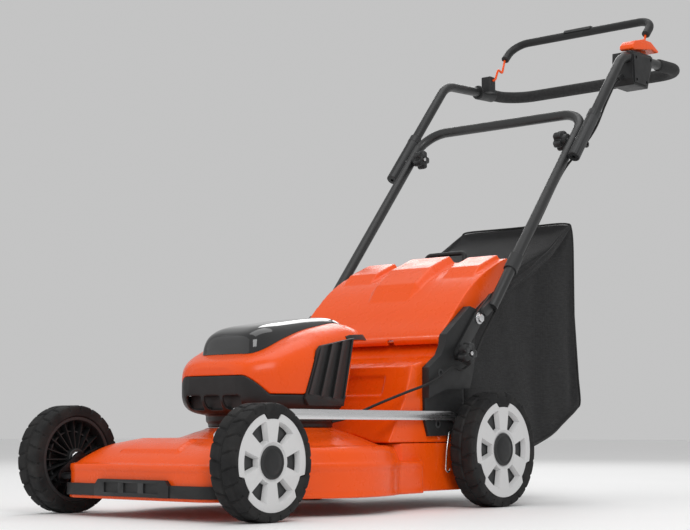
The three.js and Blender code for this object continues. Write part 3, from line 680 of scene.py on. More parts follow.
# ---- rear tower ----
def build_tower():
    lower = [(56, 112.3), (MOUTH_Y, 112.3), (MOUTH_Y, 250), (150, 250), (122, 242), (101, 184)]
    upper = [(150, 240), (MOUTH_Y, 240), (MOUTH_Y, 340), (235, 306), (197, 260), (172, 252)]
    tower = union(
        prism("x", lower, -TOWER_HALF, TOWER_HALF), prism("x", upper, -TOWER_TOP_HALF, TOWER_TOP_HALF)
    )
    buttress = [(82, 112.3), (90, 112.3), (124, 186), (140, 244), (128, 244), (108, 184)]
    ribs = [
        prism("x", [(y - 6.0, z) for y, z in buttress], x - 5.0, x + 5.0) for x in (-166.0, 166.0)
    ]
    union(tower, *ribs)
    passage = [(62, 100), (300, 100), (300, 245.5), (153, 245.5), (125, 238), (105, 182)]
    spaces = [
        prism("x", passage, -168.0, 168.0),
        prism("x", [(154, 240), (300, 240), (300, 379), (233, 298), (195, 254), (176, 247)], -160.0, 160.0),
    ]
    dome = [(60.0, 0.0), *[(z + 0.4, r) for z, r in DOME], (DECK_TOP + 0.4, 0.0)]
    deck = lathe("z", dome, 120, (0.0, MOTOR_Y))
    recess = prism("x", slot_outline((101.0, 200.0), (109.0, 222.0), 9.0), -118.0, 118.0)
    minus(tower, spaces[0], spaces[1], deck)
    backing = prism("x", [(104, 178), (128, 240), (133, 238), (109, 178)], -165.0, 165.0)
    union(tower, backing)
    minus(tower, recess)
    moulded(tower, 1.9, 5)
    finished(tower, "tower_moulding", "chassis", "orange_plastic", ["chute_housing"], 60.0)


# ---- motor and battery housing ----
HOUSING_ROWS = [
    (-187, 52, 180, 234), (-181, 72, 170, 243), (-165, 90, 161, 252), (-140, 107, 157, 263),
    (-95, 117, 155, 283), (-45, 119.5, 155, 300), (0, 119.5, 155, 310), (45, 118, 155, 317),
    (80, 110, 155, 314), (104, 96, 155, 305),
]
LID_ROWS = [
    (-156, 48, 215, 268), (-151, 58, 215, 285), (-138, 65, 215, 296), (-112, 70, 215, 305),
    (-55, 73, 215, 314), (0, 74, 215, 322), (50, 72, 215, 326.5), (82, 64, 215, 322), (98, 56, 215, 314),
]
SPLIT = [(-300, 220.5), (-182, 220.5), (-154, 190.5), (300, 190.5)]


def super_arc(t, power):
    return math.copysign(abs(t) ** (2.0 / power), t)


def housing_ring(row, inset, power=4.0, count=112):
    y, half, bottom, top = row
    ring = []
    for angle in np.linspace(0, 2 * math.pi, count, endpoint=False):
        rise = super_arc(math.sin(angle), power)
        height = top - inset - HOUSING_MIDDLE if rise > 0 else HOUSING_MIDDLE - bottom - inset
        ring.append(((half - inset) * super_arc(math.cos(angle), power), y, HOUSING_MIDDLE + rise * height))
    return ring


def housing_body(inset):
    rows = eased(HOUSING_ROWS, 55)
    first, last = rows[0][0], rows[-1][0]
    squeeze = (last - first - 2 * inset) / (last - first)
    rings = [
        housing_ring((first + inset + (row[0] - first) * squeeze, *row[1:]), inset) for row in rows
    ]
    body = loft(rings)
    under = [(2, 100), (6, 172), (34, 284), (120, 287), (200, 100)]
    return minus(body, prism("x", [(y - inset, z) for y, z in under], -200.0, 200.0))


def vent_outline(grow):
    a, b, c, d = (-94, 184), (-62, 271), (29, 287), (2, 173)
    return [
        (a[0] - grow, a[1] - grow), (b[0] - grow, b[1] - 8 + grow), (b[0] + 8, b[1] + grow),
        (c[0] + grow, c[1] + grow), (d[0] + grow, d[1] - grow), (a[0] + 8, d[1] - grow),
    ]


def vent_pockets():
    return [prism("x", vent_outline(0.3), 113.0, 140.0), prism("x", vent_outline(0.3), -140.0, -113.0)]


def build_housing_base():
    base = housing_body(0.0)
    minus(base, prism("x", [*SPLIT, (300, 400), (-300, 400)], -300.0, 300.0), housing_body(4.0))
    neck = [(DECK_TOP + 0.3, 104.0), (144.0, 104.0), (148.0, 108.0), (161.0, 108.0)]
    union(base, lathe("z", [(DECK_TOP + 0.3, 0.0), *neck, (161.0, 0.0)], 128, (0.0, MOTOR_Y)))
    vent_slot = plan_outline(18.0, -11.0, 11.0, 5.0, 4)
    vents = [
        prism("y", vent_slot, -210.0, -170.0, Matrix.Translation((x, 0.0, 178.0)))
        for x in (-42.0, 0.0, 42.0)
    ]
    minus(base, rod_z(9.0, (100.0, 200.0), (0.0, MOTOR_Y)), *vent_pockets(), *vents)
    moulded(base, 1.8, 3)
    baffle = bevelled(box((-64.0, 64.0), (-170.0, -166.5), (167.0, 194.0)), 1.0)
    finished(baffle, "vent_baffle", "chassis", "black_plastic")
    finished(base, "housing_base_moulding", "chassis", "black_plastic", ["housing_base"], 50.0)


def build_housing_cover():
    cover = housing_body(0.0)
    below = prism("x", [*[(y, z + 0.5) for y, z in SPLIT], (300, 100), (-300, 100)], -300.0, 300.0)
    hollow = minus(housing_body(3.5), box((-52.0, 52.0), (-120.0, 32.0), (212.0, 400.0)))
    pocket = box((-48.0, 48.0), (-116.0, 28.0), (216.0, 400.0))
    minus(cover, below, hollow, pocket, *vent_pockets())
    moulded(cover, 1.7, 4)
    finished(cover, "housing_cover_moulding", "chassis", "orange_plastic", ["housing_cover"], 55.0)
    band = [(22, 282), (34, 284.5), (120, 288), (120, 299), (34, 293), (22, 290)]
    brim = common(housing_body(-1.6), prism("x", band, -200.0, 200.0))
    minus(brim, housing_body(0.3))
    bevelled(brim, 0.5, 2)
    finished(brim, "cover_rear_lip", "chassis", "black_plastic")


def build_lid():
    rows = eased(LID_ROWS, 60)
    lid = loft([housing_ring(row, 0.0, 5.0, 160) for row in rows])
    inside = loft([housing_ring(row, 4.0, 5.0, 80) for row in rows[6:-6]])
    common(inside, box((-47.0, 47.0), (-115.0, 27.0), (200.0, 400.0)))
    seat = housing_body(-0.4)
    under = box((-200.0, 200.0), (-300.0, 200.0), (100.0, 250.0))
    rear = box((-200.0, 200.0), (20.0, 200.0), (100.0, 292.0))
    minus(lid, seat, inside, under, rear)
    bevelled(lid, 1.2, 3, 40.0)
    finished(lid, "battery_lid_glossy", "lid", "gloss_black", ["battery_lid"], 45.0)


# ---- wheels: laid out about the hub, with X outwards ----
def wheel_place(end, side):
    sign = 1.0 if side == "left" else -1.0
    turn = Matrix.Identity(4) if side == "left" else Matrix.Rotation(math.pi, 4, "Z")
    hub = (sign * WHEEL_X, -AXLE_Y if end == "front" else AXLE_Y, WHEELS[end][0])
    return Matrix.Translation(hub) @ turn


def notch(angle):
    apart = min(abs((angle - centre + 180.0) % 360.0 - 180.0) for centre in (90.0, 210.0, 330.0))
    return float(np.clip((15.0 - apart) / 4.0, 0.0, 1.0))


def tread(radius, rim, place):
    half, shoulder, depth = WHEEL_HALF, 4.5, 2.2
    across = [
        (half - 9.5, rim - 3.0, 0), (half - 9.5, rim + 0.4, 0),
        (half - 0.6, rim + 0.6, 0), (half, rim + 2.0, 0),
        (half, radius - shoulder - 5.0, 0), (half, radius - shoulder - 4.0, 1), (half, radius - shoulder, 1),
        (half - 1.5, radius - 1.4, 1), (half - shoulder, radius, 1),
    ]
    across += [(x, radius, 1) for x in np.linspace(half - shoulder - 3.0, shoulder + 3.0 - half, 11)]
    across += [
        (shoulder - half, radius, 1), (1.5 - half, radius - 1.4, 1), (-half, radius - shoulder, 1),
        (-half, radius - shoulder - 4.0, 1), (-half, radius - shoulder - 5.0, 0), (-half, rim - 2.0, 0),
        (1.0 - half, rim - 3.0, 0),
    ]
    lugs, steps = 22, 22 * 20
    rings = []
    for k in range(steps):
        angle = 2 * math.pi * k / steps
        ring = []
        for x, r, lugged in across:
            phase = (lugs * k / steps + (0.5 if x > 0 else 0.0) + 0.012 * abs(x)) % 1.0
            block = float(np.clip((0.45 - abs(phase - 0.5)) / 0.04, 0.0, 1.0))
            middle = float(np.clip((abs(x) - 1.2) / 1.6, 0.0, 1.0))
            sunk = depth * lugged * (1.0 - block * middle)
            inward = 0.8 * sunk if abs(x) > half - 0.1 else 0.0
            rr = r - (0.0 if abs(x) > half - 0.1 else sunk)
            ring.append((x - math.copysign(inward, x), rr * math.cos(angle), rr * math.sin(angle)))
        rings.append(ring)
    count = len(across)
    faces = []
    for k in range(steps):
        after = (k + 1) % steps
        for i in range(count):
            j = (i + 1) % count
            faces.append((k * count + i, after * count + i, after * count + j, k * count + j))
    return make("tread", [point for ring in rings for point in ring], faces, place)


def rubber_tooth(rim, centre, place):
    outline = []
    for radius, spread in ((rim - 8.4, 9.5), (rim + 3.0, 14.0)):
        angles = np.radians(np.linspace(centre - spread, centre + spread, 9))
        run = [(radius * math.cos(a), radius * math.sin(a)) for a in angles]
        outline += run if not outline else run[::-1]
    tooth = prism("x", outline, 14.5, WHEEL_HALF - 0.6, place)
    return bevelled(tooth, 1.0, 2)


# depth, then inner and outer reach as shares of the rim, then inner and outer half spread in degrees
WINDOW_ROWS = [
    (10.0, 0.47, 0.79, 9.0, 13.0), (14.5, 0.47, 0.79, 9.0, 13.0),
    (22.7, 0.43, 0.84, 13.5, 17.0), (26.0, 0.43, 0.84, 13.5, 17.0),
]


def rim_face(rim, place):
    angles = np.linspace(0, 360, 240, endpoint=False)
    reach = [rim - 9.2 * notch(a) for a in angles]
    outline = [
        (r * math.cos(math.radians(a)), r * math.sin(math.radians(a)))
        for r, a in zip(reach, angles)
    ]
    face = prism("x", outline, 14.2, 22.6, place)
    windows = []
    for k in range(6):
        rings = []
        for x, near, far, close, wide in WINDOW_ROWS:
            ring = []
            for radius, spread, order in ((far * rim, wide, 1), (near * rim, close, -1)):
                for a in np.radians(60.0 * k + order * np.linspace(-spread, spread, 7)):
                    ring.append((x, radius * math.cos(a), radius * math.sin(a)))
            rings.append(ring)
        windows.append(loft(rings, matrix=place))
    minus(face, *windows)
    profile = [(20.6, 0.0), (20.6, 0.36 * rim), (22.0, 0.40 * rim), (30.0, 0.44 * rim), (30.0, 0.0)]
    dish = lathe("x", profile, 96, matrix=place)
    minus(face, dish)
    return bevelled(face, 0.9, 3, 24.0)


def hub_cap(rim, place):
    r = 0.34 * rim
    cap = lathe(
        "x", [(18.0, 0.0), (18.0, r), (22.4, r), (23.6, r - 1.4), (23.9, r - 3.4), (23.2, r - 4.6),
              (23.2, r - 6.2), (24.2, r - 7.6), (24.9, 0.4 * r), (25.1, 0.0)], 96, matrix=place,
    )
    return cap


def web_disc(rim, place):
    band = rim - 4.0
    disc = lathe("x", [
        (-22.0, 8.3), (-22.0, 15.5), (-21.0, 17.0), (2.0, 19.0), (2.0, band - 7.0), (-20.0, band - 5.6),
        (-21.0, band - 4.8), (-21.0, band), (12.0, band), (12.0, 8.3),
    ], 120, matrix=place)
    ribs = []
    for k in range(20):
        turned = place @ Matrix.Rotation(2 * math.pi * k / 20, 4, "X")
        wedge = [(17.0, -17.0), (band - 6.0, -11.0), (band - 6.0, 3.0), (17.0, 3.0)]
        ribs.append(prism("y", [(u, r) for r, u in wedge], -0.9, 0.9, turned))
    inner, outer = 0.62 * rim - 1.0, 0.62 * rim + 1.0
    ring = lathe("x", [(-7.0, inner), (-7.0, outer), (3.0, outer), (3.0, inner)], 96, matrix=place)
    return union(disc, *ribs, ring)


def build_wheels():
    for end, (radius, rim) in WHEELS.items():
        for side in ("left", "right"):
            place = wheel_place(end, side)
            body, tag = f"wheel_{end}_{side}", f"{end}_{side}"
            tyre = tread(radius, rim, place)
            teeth = [rubber_tooth(rim, centre, place) for centre in (90.0, 210.0, 330.0)]
            union(tyre, *teeth)
            finished(tyre, f"tread_{tag}", body, "tyre_rubber", [f"tyre_{tag}"], 30.0)
            finished(rim_face(rim, place), f"rim_{tag}", body, "grey_plastic", [f"rim_cover_{tag}"], 30.0)
            finished(web_disc(rim, place), f"web_{tag}", body, "black_plastic", [f"wheel_disc_{tag}"], 30.0)
            finished(hub_cap(rim, place), f"hub_cap_{tag}", body, "black_plastic", (), 50.0)
            profile = [(-24.5, 0.0), (-24.5, 9.5), (-21.5, 12.5), (-21.5, 0.0)]
            nut = bevelled(lathe("x", profile, 40, matrix=place), 0.6)
            finished(nut, f"axle_collar_{tag}", body, "bright_steel", (), 40.0)


# ---- handle ----
def leg_point(z):
    return (CROSSBAR[0] - (CROSSBAR[1] - z) / math.tan(LEG_ANGLE), z)


def beside_leg(z, clear):
    y, _ = leg_point(z)
    return (y + clear * math.sin(LEG_ANGLE), z - clear * math.cos(LEG_ANGLE))


def build_lower_handle():
    foot = leg_point(352.0)
    corners = [(LEG_X, *foot), (LEG_X, *CROSSBAR), (-LEG_X, *CROSSBAR), (-LEG_X, *foot)]
    handle = sweep(bent(corners, 55.0, 16), TUBE, 36, name="loop")
    for s in (1, -1):
        low, high = sorted((s * 187.3, s * 192.3))
        wide = sorted((s * 190.0, s * 199.0))
        strips = [
            prism("x", slot_outline(LOCK, FOLD, 12.0), low, high),
            prism("x", slot_outline(FOLD, leg_point(368.0), 11.0), low, high),
            prism("x", slot_outline((306.0, 345.0), leg_point(362.0), 9.0), *wide),
        ]
        union(handle, *strips)
    holes = [rod_x(4.1, sorted((s * 180.0, s * 215.0)), UPPER_FOLD) for s in (1, -1)]
    minus(handle, *holes)
    bevelled(handle, 1.1, 2, 40.0)
    finished(handle, "lower_handle_tube", "lower_handle", "black_paint", ["lower_handle"], 42.0)


def upper_start():
    return (UPPER_FOLD[0] - 48 * math.cos(LEG_ANGLE), UPPER_FOLD[1] - 48 * math.sin(LEG_ANGLE))


def build_upper_handle():
    corners = [
        (UPPER_X, *upper_start()), (UPPER_X, *HANDLE_BEND), (UPPER_X, *GRIP_REAR),
        (-UPPER_X, *GRIP_REAR), (-UPPER_X, *HANDLE_BEND), (-UPPER_X, *upper_start()),
    ]
    tube = sweep(bent(corners, 60.0, 16), TUBE, 36, name="upper")
    finished(tube, "upper_handle_tube", "upper_handle", "black_paint", ["upper_handle"], 50.0)

    slope = (GRIP_REAR[1] - HANDLE_BEND[1]) / (GRIP_REAR[0] - HANDLE_BEND[0])
    on_top = lambda y: (y, GRIP_REAR[1] - (GRIP_REAR[0] - y) * slope)
    corners = [
        (UPPER_X, *on_top(922.0)), (UPPER_X, *GRIP_REAR), (-UPPER_X, *GRIP_REAR), (-UPPER_X, *on_top(953.0)),
    ]
    foam = sweep(bent(corners, 60.0, 18), 13.0, 36, 2.2, "foam")
    finished(foam, "grip_foam_sleeve", "upper_handle", "grip_foam", ["grip"], 60.0)

    along = np.array((0.0, math.cos(LEG_ANGLE), math.sin(LEG_ANGLE)))
    for side, s in (("left", 1.0), ("right", -1.0)):
        at = lambda distance: np.array((s * UPPER_X, *UPPER_FOLD)) + along * distance
        sleeve = sweep([at(-56), at(72)], 12.3, 40, 1.4)
        collar = sweep([at(58), at(76)], 12.9, 40, 1.0)
        eye = (UPPER_FOLD[0] + 17 * along[2], UPPER_FOLD[1] - 17 * along[1])
        low, high = sorted((s * UPPER_X - 2.5, s * UPPER_X + 2.5))
        profile = [(low, 3.8), (low, 6.4), (low + 1, 7.2), (high - 1, 7.2), (high, 6.4), (high, 3.8)]
        ring = lathe("x", profile, 40, eye)
        union(sleeve, collar, ring)
        minus(sleeve, sweep([at(-70), at(-44)], 3.4, 20, 0.2))
        finished(sleeve, f"sleeve_{side}", "upper_handle", "black_plastic", [f"upper_sleeve_{side}"], 40.0)


def knob_outline(at, base, lobe, count=120):
    points = []
    for angle in np.linspace(0, 2 * math.pi, count, endpoint=False):
        radius = base + lobe * math.cos(5 * angle) - 0.35 * lobe * math.cos(10 * angle)
        points.append((at[0] + radius * math.cos(angle), at[1] + radius * math.sin(angle)))
    return points


def build_knobs():
    for side, s in (("left", 1.0), ("right", -1.0)):
        for which, at, near, far, stud in (
            ("lower", LOCK, 192.8, 217.0, (187.6, 219.0)),
            ("upper", UPPER_FOLD, 188.6, 163.0, (161.5, 231.0)),
        ):
            towards = 1.0 if far > near else -1.0
            levels = [(0.0, 16.5), (2.5, 17.8), (13.0, 17.8), (16.0, 16.6), (17.0, 14.0)]
            rings = []
            for depth, base in levels:
                x = s * (near + towards * (abs(far - near) - 17.0 + depth))
                rings.append([(x, y, z) for y, z in knob_outline(at, base, 3.0 if base > 15 else 1.6)])
            knob = loft(rings if s * towards > 0 else rings[::-1])
            hub = rod_x(12.0, sorted((s * near, s * (near + towards * 10.0))), at, 40)
            pit = rod_x(6.0, sorted((s * (far + towards * 3.0), s * (far - towards * 3.0))), at, 32)
            union(knob, hub)
            minus(knob, pit)
            bevelled(knob, 0.7, 2, 45.0)
            name = f"{which}_knob_{side}"
            finished(knob, f"star_{which}_{side}", name, "black_plastic", [name], 40.0)
            pin = bevelled(rod_x(3.7, sorted((s * stud[0], s * stud[1])), at, 28), 0.6)
            finished(pin, f"stud_{which}_{side}", name, "bright_steel", (), 40.0)


def build_controls():
    body = prism("x", [(800, 838), (856, 838), (876, 893), (873, 911), (797, 908), (793, 852)], 184.0, 232.0)
    lug = prism("x", [(850, 880), (912, 908), (915, 930), (896, 934), (868, 910)], 186.0, 198.0)
    union(body, lug, sweep([(206, 802, 862), (206, 780, 848)], 5.5, 28))
    bevelled(body, 2.6, 3, 30.0)
    finished(body, "control_case", "upper_handle", "black_plastic", ["control_box"], 40.0)
    outline = [(799, 843), (851, 843), (874, 895), (872, 908), (797, 902)]
    plate = bevelled(prism("x", outline, 231.5, 236.0), 1.6, 3)
    sunk = [(805, 849), (846, 849), (865, 899), (803, 895)]
    minus(plate, *[rod_x(3.3, (233.0, 240.0), at, 24) for at in sunk])
    finished(plate, "control_plate", "upper_handle", "black_plastic", (), 35.0)
    for k, at in enumerate(sunk):
        screw = rod_x(2.6, (231.0, 234.4), at, 24)
        minus(screw, rod_x(1.2, (233.2, 236.0), at, 6))
        finished(screw, f"plate_screw_{k}", "upper_handle", "dark_steel", (), 30.0)

    paddle = prism("x", [
        (794, 913), (803, 911.5), (878, 925), (902, 922), (904, 926),
        (872, 940), (840, 940), (806, 931), (795, 921),
    ], 202.0, 234.0)
    bevelled(paddle, 3.2, 4, 30.0)
    grooves = [
        prism("x", [(y, z - 1.0), (y + 2.0, z - 1.0), (y + 2.0, z + 4.0), (y, z + 4.0)], 206.0, 230.0)
        for y, z in ((876, 937.8), (882, 935.2), (888, 932.4), (894, 929.6))
    ]
    minus(paddle, *grooves)
    finished(paddle, "start_lever", "paddle", "orange_plastic", ["start_paddle"], 35.0)

    post = box((-212.0, -187.0), (894.0, 916.0), (898.0, 934.0))
    sleeve = sweep([(-UPPER_X, 893, 900.4), (-UPPER_X, 951, 903.4)], 16.0, 44, 1.6)
    clamp = union(sleeve, bevelled(post, 2.4, 3))
    finished(clamp, "bail_clamp_case", "upper_handle", "black_plastic", ["bail_clamp"], 40.0)


def build_bail():
    y, z = BAIL_PIVOT
    for side, s in (("left", 1.0), ("right", -1.0)):
        zigzag = [
            (s * 196, y, z), (s * 181, y, z), (s * 181, y + 13, z + 27),
            (s * 181, y + 29, z + 21), (s * 181, y + 40, z + 53),
        ]
        wire = sweep(bent(zigzag, 4.5, 8), 2.5, 20, 0.4)
        finished(wire, f"spring_arm_{side}", "bail", "orange_plastic", [f"bail_wire_{side}"], 60.0)
    end, top = (y + 41.0, z + 54.0), (y + 81.0, z + 96.0)
    route = bent([(181, *end), (181, *top), (-181, *top), (-181, *end)], 38.0, 16)
    bar = sweep(route, 9.0, 36, 1.6)
    pad_outline = [(y + 70, z + 100), (y + 92, z + 100), (y + 86, z + 108), (y + 76, z + 108)]
    pad = bevelled(prism("x", pad_outline, -44.0, 26.0), 1.8, 3)
    union(bar, pad)
    finished(bar, "bail_bar_case", "bail", "black_plastic", ["bail_bar"], 40.0)


# ---- cable: two fixed pieces, and the clip hides where they meet ----
def build_cable():
    lower_route = [
        (113, -20, 147), (130, 5, 155), (153, 45, 175), (180, 92, 196), (191, 135, 210), (195, 170, 224),
        (197.5, 203, 241), (197.5, 232, 238), (197.2, 268, 258), (196, 296, 296),
        (LEG_X, *beside_leg(400.0, 13.0)), (LEG_X, *beside_leg(438.0, 13.0)),
    ]
    cable = sweep(eased(lower_route, 160), 2.3, 16, 0.2)
    finished(cable, "motor_cable", None, "cable_rubber", ["cable_lower", "cable_middle"], 60.0)
    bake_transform(cable)

    upper_route = [
        (LEG_X, *beside_leg(438.0, 13.0)), (LEG_X, *beside_leg(540.0, 13.0)),
        (LEG_X, *beside_leg(640.0, 13.5)), (213.0, 630.0, 690.0), (UPPER_X, 662.0, 730.0),
        (220.0, 700.0, 779.0), (210, 755, 830), (206.2, 779.5, 847.7),
    ]
    cable = sweep(eased(upper_route, 140), 2.3, 16, 0.2)
    finished(cable, "motor_cable_upper", None, "cable_rubber", ["cable_upper"], 60.0)
    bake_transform(cable)

    low, high = beside_leg(424.0, 0.0), beside_leg(452.0, 0.0)
    band = sweep([(LEG_X, *low), (LEG_X, *high)], 12.8, 40, 0.8)
    union(band, sweep([(LEG_X, *beside_leg(428.0, 13.0)), (LEG_X, *beside_leg(448.0, 13.0))], 5.2, 24))
    finished(band, "cable_clip_moulding", "lower_handle", "black_plastic", ["cable_clip"], 40.0)


# ---- flap ----
FLAP_TOP = [(200, 284), (207, 301), (235, 329), (268, 363), (306, 396), (346, 421), (401, 446), (418, 451)]
FLAP_SIDE = [(418, 430), (401, 402), (346, 372), (306, 345), (268, 310), (240, 277), (212, 268)]


def build_flap():
    top = [tuple(point) for point in eased(FLAP_TOP, 50)]
    flap = prism("x", top + FLAP_SIDE, -FLAP_HALF, FLAP_HALF)
    inside = [(y + 1.5, z - 4.0) for y, z in top] + [(430, 446), (430, 400)]
    inside += [(y, z - 60.0) for y, z in reversed(top)]
    hollow = prism("x", inside, 4.0 - FLAP_HALF, FLAP_HALF - 4.0)
    minus(flap, hollow)

    def bulge(x0, x1, taper, outline):
        rings = [
            [(x, y, z - drop) for y, z in outline]
            for x, drop in ((x0, 14.0), (x0 + taper, 0.0), (x1 - taper, 0.0), (x1, 14.0))
        ]
        return loft(rings)

    centre = [(262, 352), (300, 404), (345, 437), (408, 463), (414, 447), (346, 418), (306, 392)]
    side = [(318, 401), (352, 434), (410, 458), (415, 448), (348, 420)]
    union(
        flap, bulge(-58, 58, 12, centre), bulge(78, 162, 9, side), bulge(-162, -78, 9, side),
    )
    union(flap, rod_x(6.0, (-FLAP_HALF, FLAP_HALF), FLAP_HINGE, 40))
    minus(flap, rod_x(3.4, (-200.0, 200.0), FLAP_HINGE), box((58.0, 72.0), (190.0, 212.0), (284.0, 292.0)))
    moulded(flap, 1.8, 4)
    finished(flap, "flap_moulding", "flap", "orange_plastic", ["discharge_flap"], 60.0)


# ---- grass bag ----
BAG_ROWS = [
    (292, 352, 292, 112, 158), (346, 400, 340, 102, 160), (401, 429, 420, 94, 160), (500, 468, 520, 95, 156),
    (600, 509, 608, 116, 150), (662, 536, 682, 148, 147), (704, 556, 738, 172, 141),
]
BAG_AROUND = 96
BAG_ALONG = 40
BAG_REAR = 12


def bag_ring(row, inset):
    top_y, top_z, bottom_y, bottom_z, half = row
    ring = []
    for angle in np.linspace(0, 2 * math.pi, BAG_AROUND, endpoint=False):
        x = (half - inset) * super_arc(math.cos(angle), 14.0)
        share = 0.5 + 0.5 * super_arc(math.sin(angle), 14.0)
        low, high = bottom_z + inset, top_z - inset
        ring.append((x, bottom_y + (top_y - bottom_y) * share, low + (high - low) * share))
    return np.array(ring)


def bag_edge(share):
    """Ring index nearest to a corner: 1 is top left, 3 top right, 5 bottom right, 7 bottom left."""
    return int(round(BAG_AROUND * share / 8.0))


def build_bag():
    rings = [bag_ring(row, 1.5) for row in eased(BAG_ROWS, BAG_ALONG)]
    middle = rings[-1].mean(axis=0)
    for k in range(1, BAG_REAR + 1):
        shrink = 1.0 - k / (BAG_REAR + 0.4)
        rings.append(middle + (rings[BAG_ALONG - 1] - middle) * shrink)
    count = BAG_AROUND
    faces = [
        (r * count + i, r * count + (i + 1) % count, (r + 1) * count + (i + 1) % count, (r + 1) * count + i)
        for r in range(len(rings) - 1) for i in range(count)
    ]
    faces.append(tuple(range((len(rings) - 1) * count, len(rings) * count)))
    points = (np.vstack(rings) - np.array((0.0, CENTRE_Y, 0.0))) / 1000.0
    mesh = bpy.data.meshes.new("bag_cloth")
    mesh.from_pydata(points.tolist(), [], faces)
    bag = bpy.data.objects.new("bag_cloth", mesh)
    bpy.context.scene.collection.objects.link(bag)
    settle_cloth(bag, points)
    wrinkle(bag)
    settled = np.array([vertex.co for vertex in bag.data.vertices])
    thick = bag.modifiers.new("thick", "SOLIDIFY")
    thick.thickness = 0.0014
    thick.offset = -1.0
    fine = bag.modifiers.new("fine", "SUBSURF")
    fine.levels = 1
    bake(bag)
    build = bmesh.new()
    build.from_mesh(bag.data)
    bmesh.ops.recalc_face_normals(build, faces=build.faces)
    build.to_mesh(bag.data)
    build.free()
    finished(bag, "grass_bag_cloth", "bag", "bag_cloth", ["bag_fabric"], 70.0)

    def along(edge, first=0, last=BAG_ALONG):
        rows = [settled[r * count + edge] * 1000.0 for r in range(first, last)]
        return [row + np.array((0.0, CENTRE_Y, 0.0)) for row in rows]

    corners = {"top_left": 1, "top_right": 3, "bottom_right": 5, "bottom_left": 7}
    for name, share in corners.items():
        radius = 1.3 if name.startswith("top") else 2.6
        seam = sweep(along(bag_edge(share)), radius, 12, 0.3)
        finished(seam, f"bag_seam_{name}", "bag", "cable_rubber", (), 60.0)
    hem = [settled[(BAG_ALONG - 1) * count + i % count] * 1000.0 for i in range(count + 1)]
    hem = [point + np.array((0.0, CENTRE_Y, 0.0)) for point in hem]
    piping = sweep(hem, 2.0, 12, 0.3)
    finished(piping, "bag_rear_piping", "bag", "cable_rubber", (), 60.0)


def settle_cloth(bag, rest):
    """The sewn shell hangs from its mouth frame and its four stiff rear corners."""
    pins = bag.vertex_groups.new(name="held")
    for r in range(3):
        pins.add([r * BAG_AROUND + i for i in range(BAG_AROUND)], 1.0, "REPLACE")
    for share in (1, 3, 5, 7):
        for shift in (-1, 0, 1):
            pins.add([(BAG_ALONG - 1) * BAG_AROUND + bag_edge(share) + shift], 1.0, "REPLACE")
    cloth = bag.modifiers.new("cloth", "CLOTH")
    cloth.settings.vertex_group_mass = "held"
    cloth.settings.quality = 7
    cloth.settings.mass = 0.25
    cloth.settings.tension_stiffness = 25.0
    cloth.settings.compression_stiffness = 12.0
    cloth.settings.shear_stiffness = 8.0
    cloth.settings.bending_stiffness = 0.8
    cloth.collision_settings.use_collision = False
    scene = bpy.context.scene
    for number in range(1, 19):
        scene.frame_set(number)
    bake(bag)
    scene.frame_set(1)
    limit = 0.020
    for vertex, start in zip(bag.data.vertices, rest):
        moved = vertex.co - Vector(start)
        if moved.length > limit:
            vertex.co = Vector(start) + moved * (limit / moved.length)


def wrinkle(bag):
    """Long shallow folds that run down from the corners."""
    low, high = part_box("bag_fabric")
    for vertex in bag.data.vertices:
        place = vertex.co
        run = (place.y - low.y) / (high.y - low.y)
        rise = (place.z - low.z) / (high.z - low.z)
        fade = math.sin(math.pi * min(max(run, 0.0), 1.0)) ** 0.7
        drape = math.sin(31.0 * run + 9.0 * rise) + 0.6 * math.sin(17.0 * rise - 23.0 * run + 1.3)
        hollow = math.sin(math.pi * min(max(rise, 0.0), 1.0))
        inward = 0.001 * fade * (1.3 * drape + 7.0 * hollow)
        place.x -= math.copysign(inward, place.x) * min(1.0, abs(place.x) / 0.08)
        place.y -= 0.016 * hollow * max(0.0, run - 0.55) / 0.45


def build_bag_fittings():
    refined("bag_frame", "black_plastic", 1.5, 3)
    route = bent([(48, 452, 454), (44, 460, 474), (-44, 460, 474), (-48, 452, 454)], 10.0, 10)
    loop = sweep(route, 4.5, 24, 1.0)
    finished(loop, "bag_carry_handle", "bag", "black_plastic", ["bag_handle"], 60.0)


# ---- small fittings that the CAD part leaves out ----
def build_fittings():
    for side, s in (("left", 1.0), ("right", -1.0)):
        for k, at in enumerate(((182.0, 231.0), (186.0, 144.0))):
            face = 187.0 if k == 0 else 177.3
            profile = [(face - 1, 4.2), (face - 1, 7.5), (face + 0.8, 7.5), (face + 1.2, 4.2)]
            rim = lathe("x", [(s * x, radius) for x, radius in profile], 32, at)
            finished(rim, f"bracket_boss_{side}_{k}", "chassis", "black_plastic", (), 30.0)
            screw = bevelled(rod_x(4.0, sorted((s * (face - 1), s * (face + 0.4))), at, 24), 0.5)
            finished(screw, f"bracket_screw_{side}_{k}", "chassis", "dark_steel", (), 30.0)
    hook = [(181, 214, 130), (181, 206, 96), (181, 203, 66), (181, 212, 60), (181, 216, 68)]
    spring = sweep(bent(hook, 4.0, 8), 1.4, 14, 0.3)
    finished(spring, "return_spring_wire", "chassis", "bright_steel", (), 60.0)


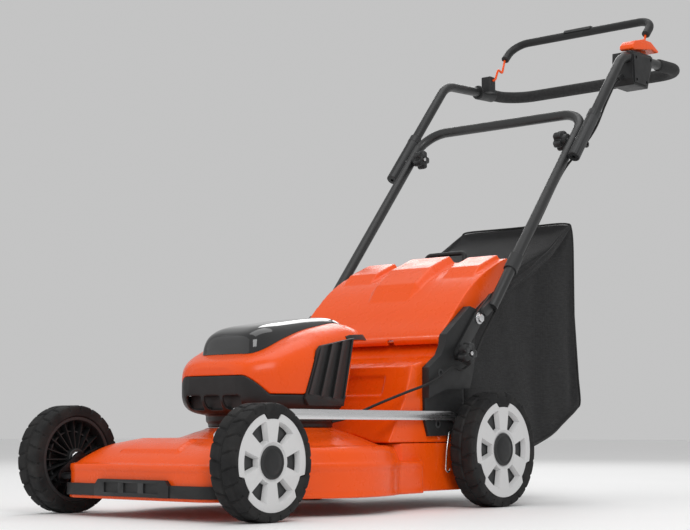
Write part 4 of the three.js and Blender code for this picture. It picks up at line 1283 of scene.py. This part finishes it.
def build_grilles():
    """Three overlapping louvres in a frame, each one standing out at its front edge."""
    a, b, c, d = (-94, 184), (-62, 271), (29, 287), (2, 173)
    foot = [(a[0] + 7 + k * 29.5, a[1] + 9 - 2.6 * k) for k in range(4)]
    head = [(b[0] + 6 + k * 26.5, b[1] - 3 + 5.0 * k) for k in range(4)]
    for side, s in (("left", 1.0), ("right", -1.0)):
        frame_part = prism("x", vent_outline(0.0), *sorted((s * 113.3, s * 120.6)))
        inner = prism("x", [foot[0], head[0], head[3], foot[3]], *sorted((s * 117.0, s * 130.0)))
        minus(frame_part, inner)
        bevelled(frame_part, 0.9, 2)
        louvres = []
        for k in range(3):
            front = [(foot[k][0] - 0.4, foot[k][1] - 2.0), (head[k][0] - 0.4, head[k][1] + 2.0)]
            rear = [
                (head[k + 1][0] + 0.4, head[k + 1][1] + 2.0), (foot[k + 1][0] + 0.4, foot[k + 1][1] - 2.0),
            ]
            outer = [(s * 123.0, *point) for point in front] + [(s * 118.0, *point) for point in rear]
            louvres.append(loft([[(s * 115.0, y, z) for _, y, z in outer], outer]))
        union(frame_part, *louvres)
        finished(
            frame_part, f"louvres_{side}", "chassis", "black_plastic", [f"vent_grille_{side}"], 28.0
        )


def build_rest():
    for side in ("left", "right"):
        refined(f"handle_bracket_{side}", "black_plastic", 1.8, 3)
        refined(f"handle_bolt_{side}", "bright_steel", 0.6, 3)
    for node, slot, width in (
        ("battery_pack", "black_plastic", 3.0), ("motor_stator", "dark_steel", 0.8),
        ("motor_rotor", "bright_steel", 0.8), ("blade_holder", "black_plastic", 0.8),
        ("blade", "dark_steel", 0.5), ("blade_bolt", "bright_steel", 0.8), ("front_axle", "dark_steel", 0.8),
        ("rear_axle", "dark_steel", 0.8), ("link_bar", "bright_steel", 0.7),
        ("height_lever", "black_plastic", 1.2), ("flap_rod", "bright_steel", 0.4),
    ):
        refined(node, slot, width)


build_stage()
build_deck()
build_bumper()
build_tower()
build_housing_base()
build_housing_cover()
build_lid()
build_wheels()
build_lower_handle()
build_upper_handle()
build_knobs()
build_controls()
build_bail()
build_cable()
build_flap()
build_bag()
build_bag_fittings()
build_fittings()
build_grilles()
build_rest()
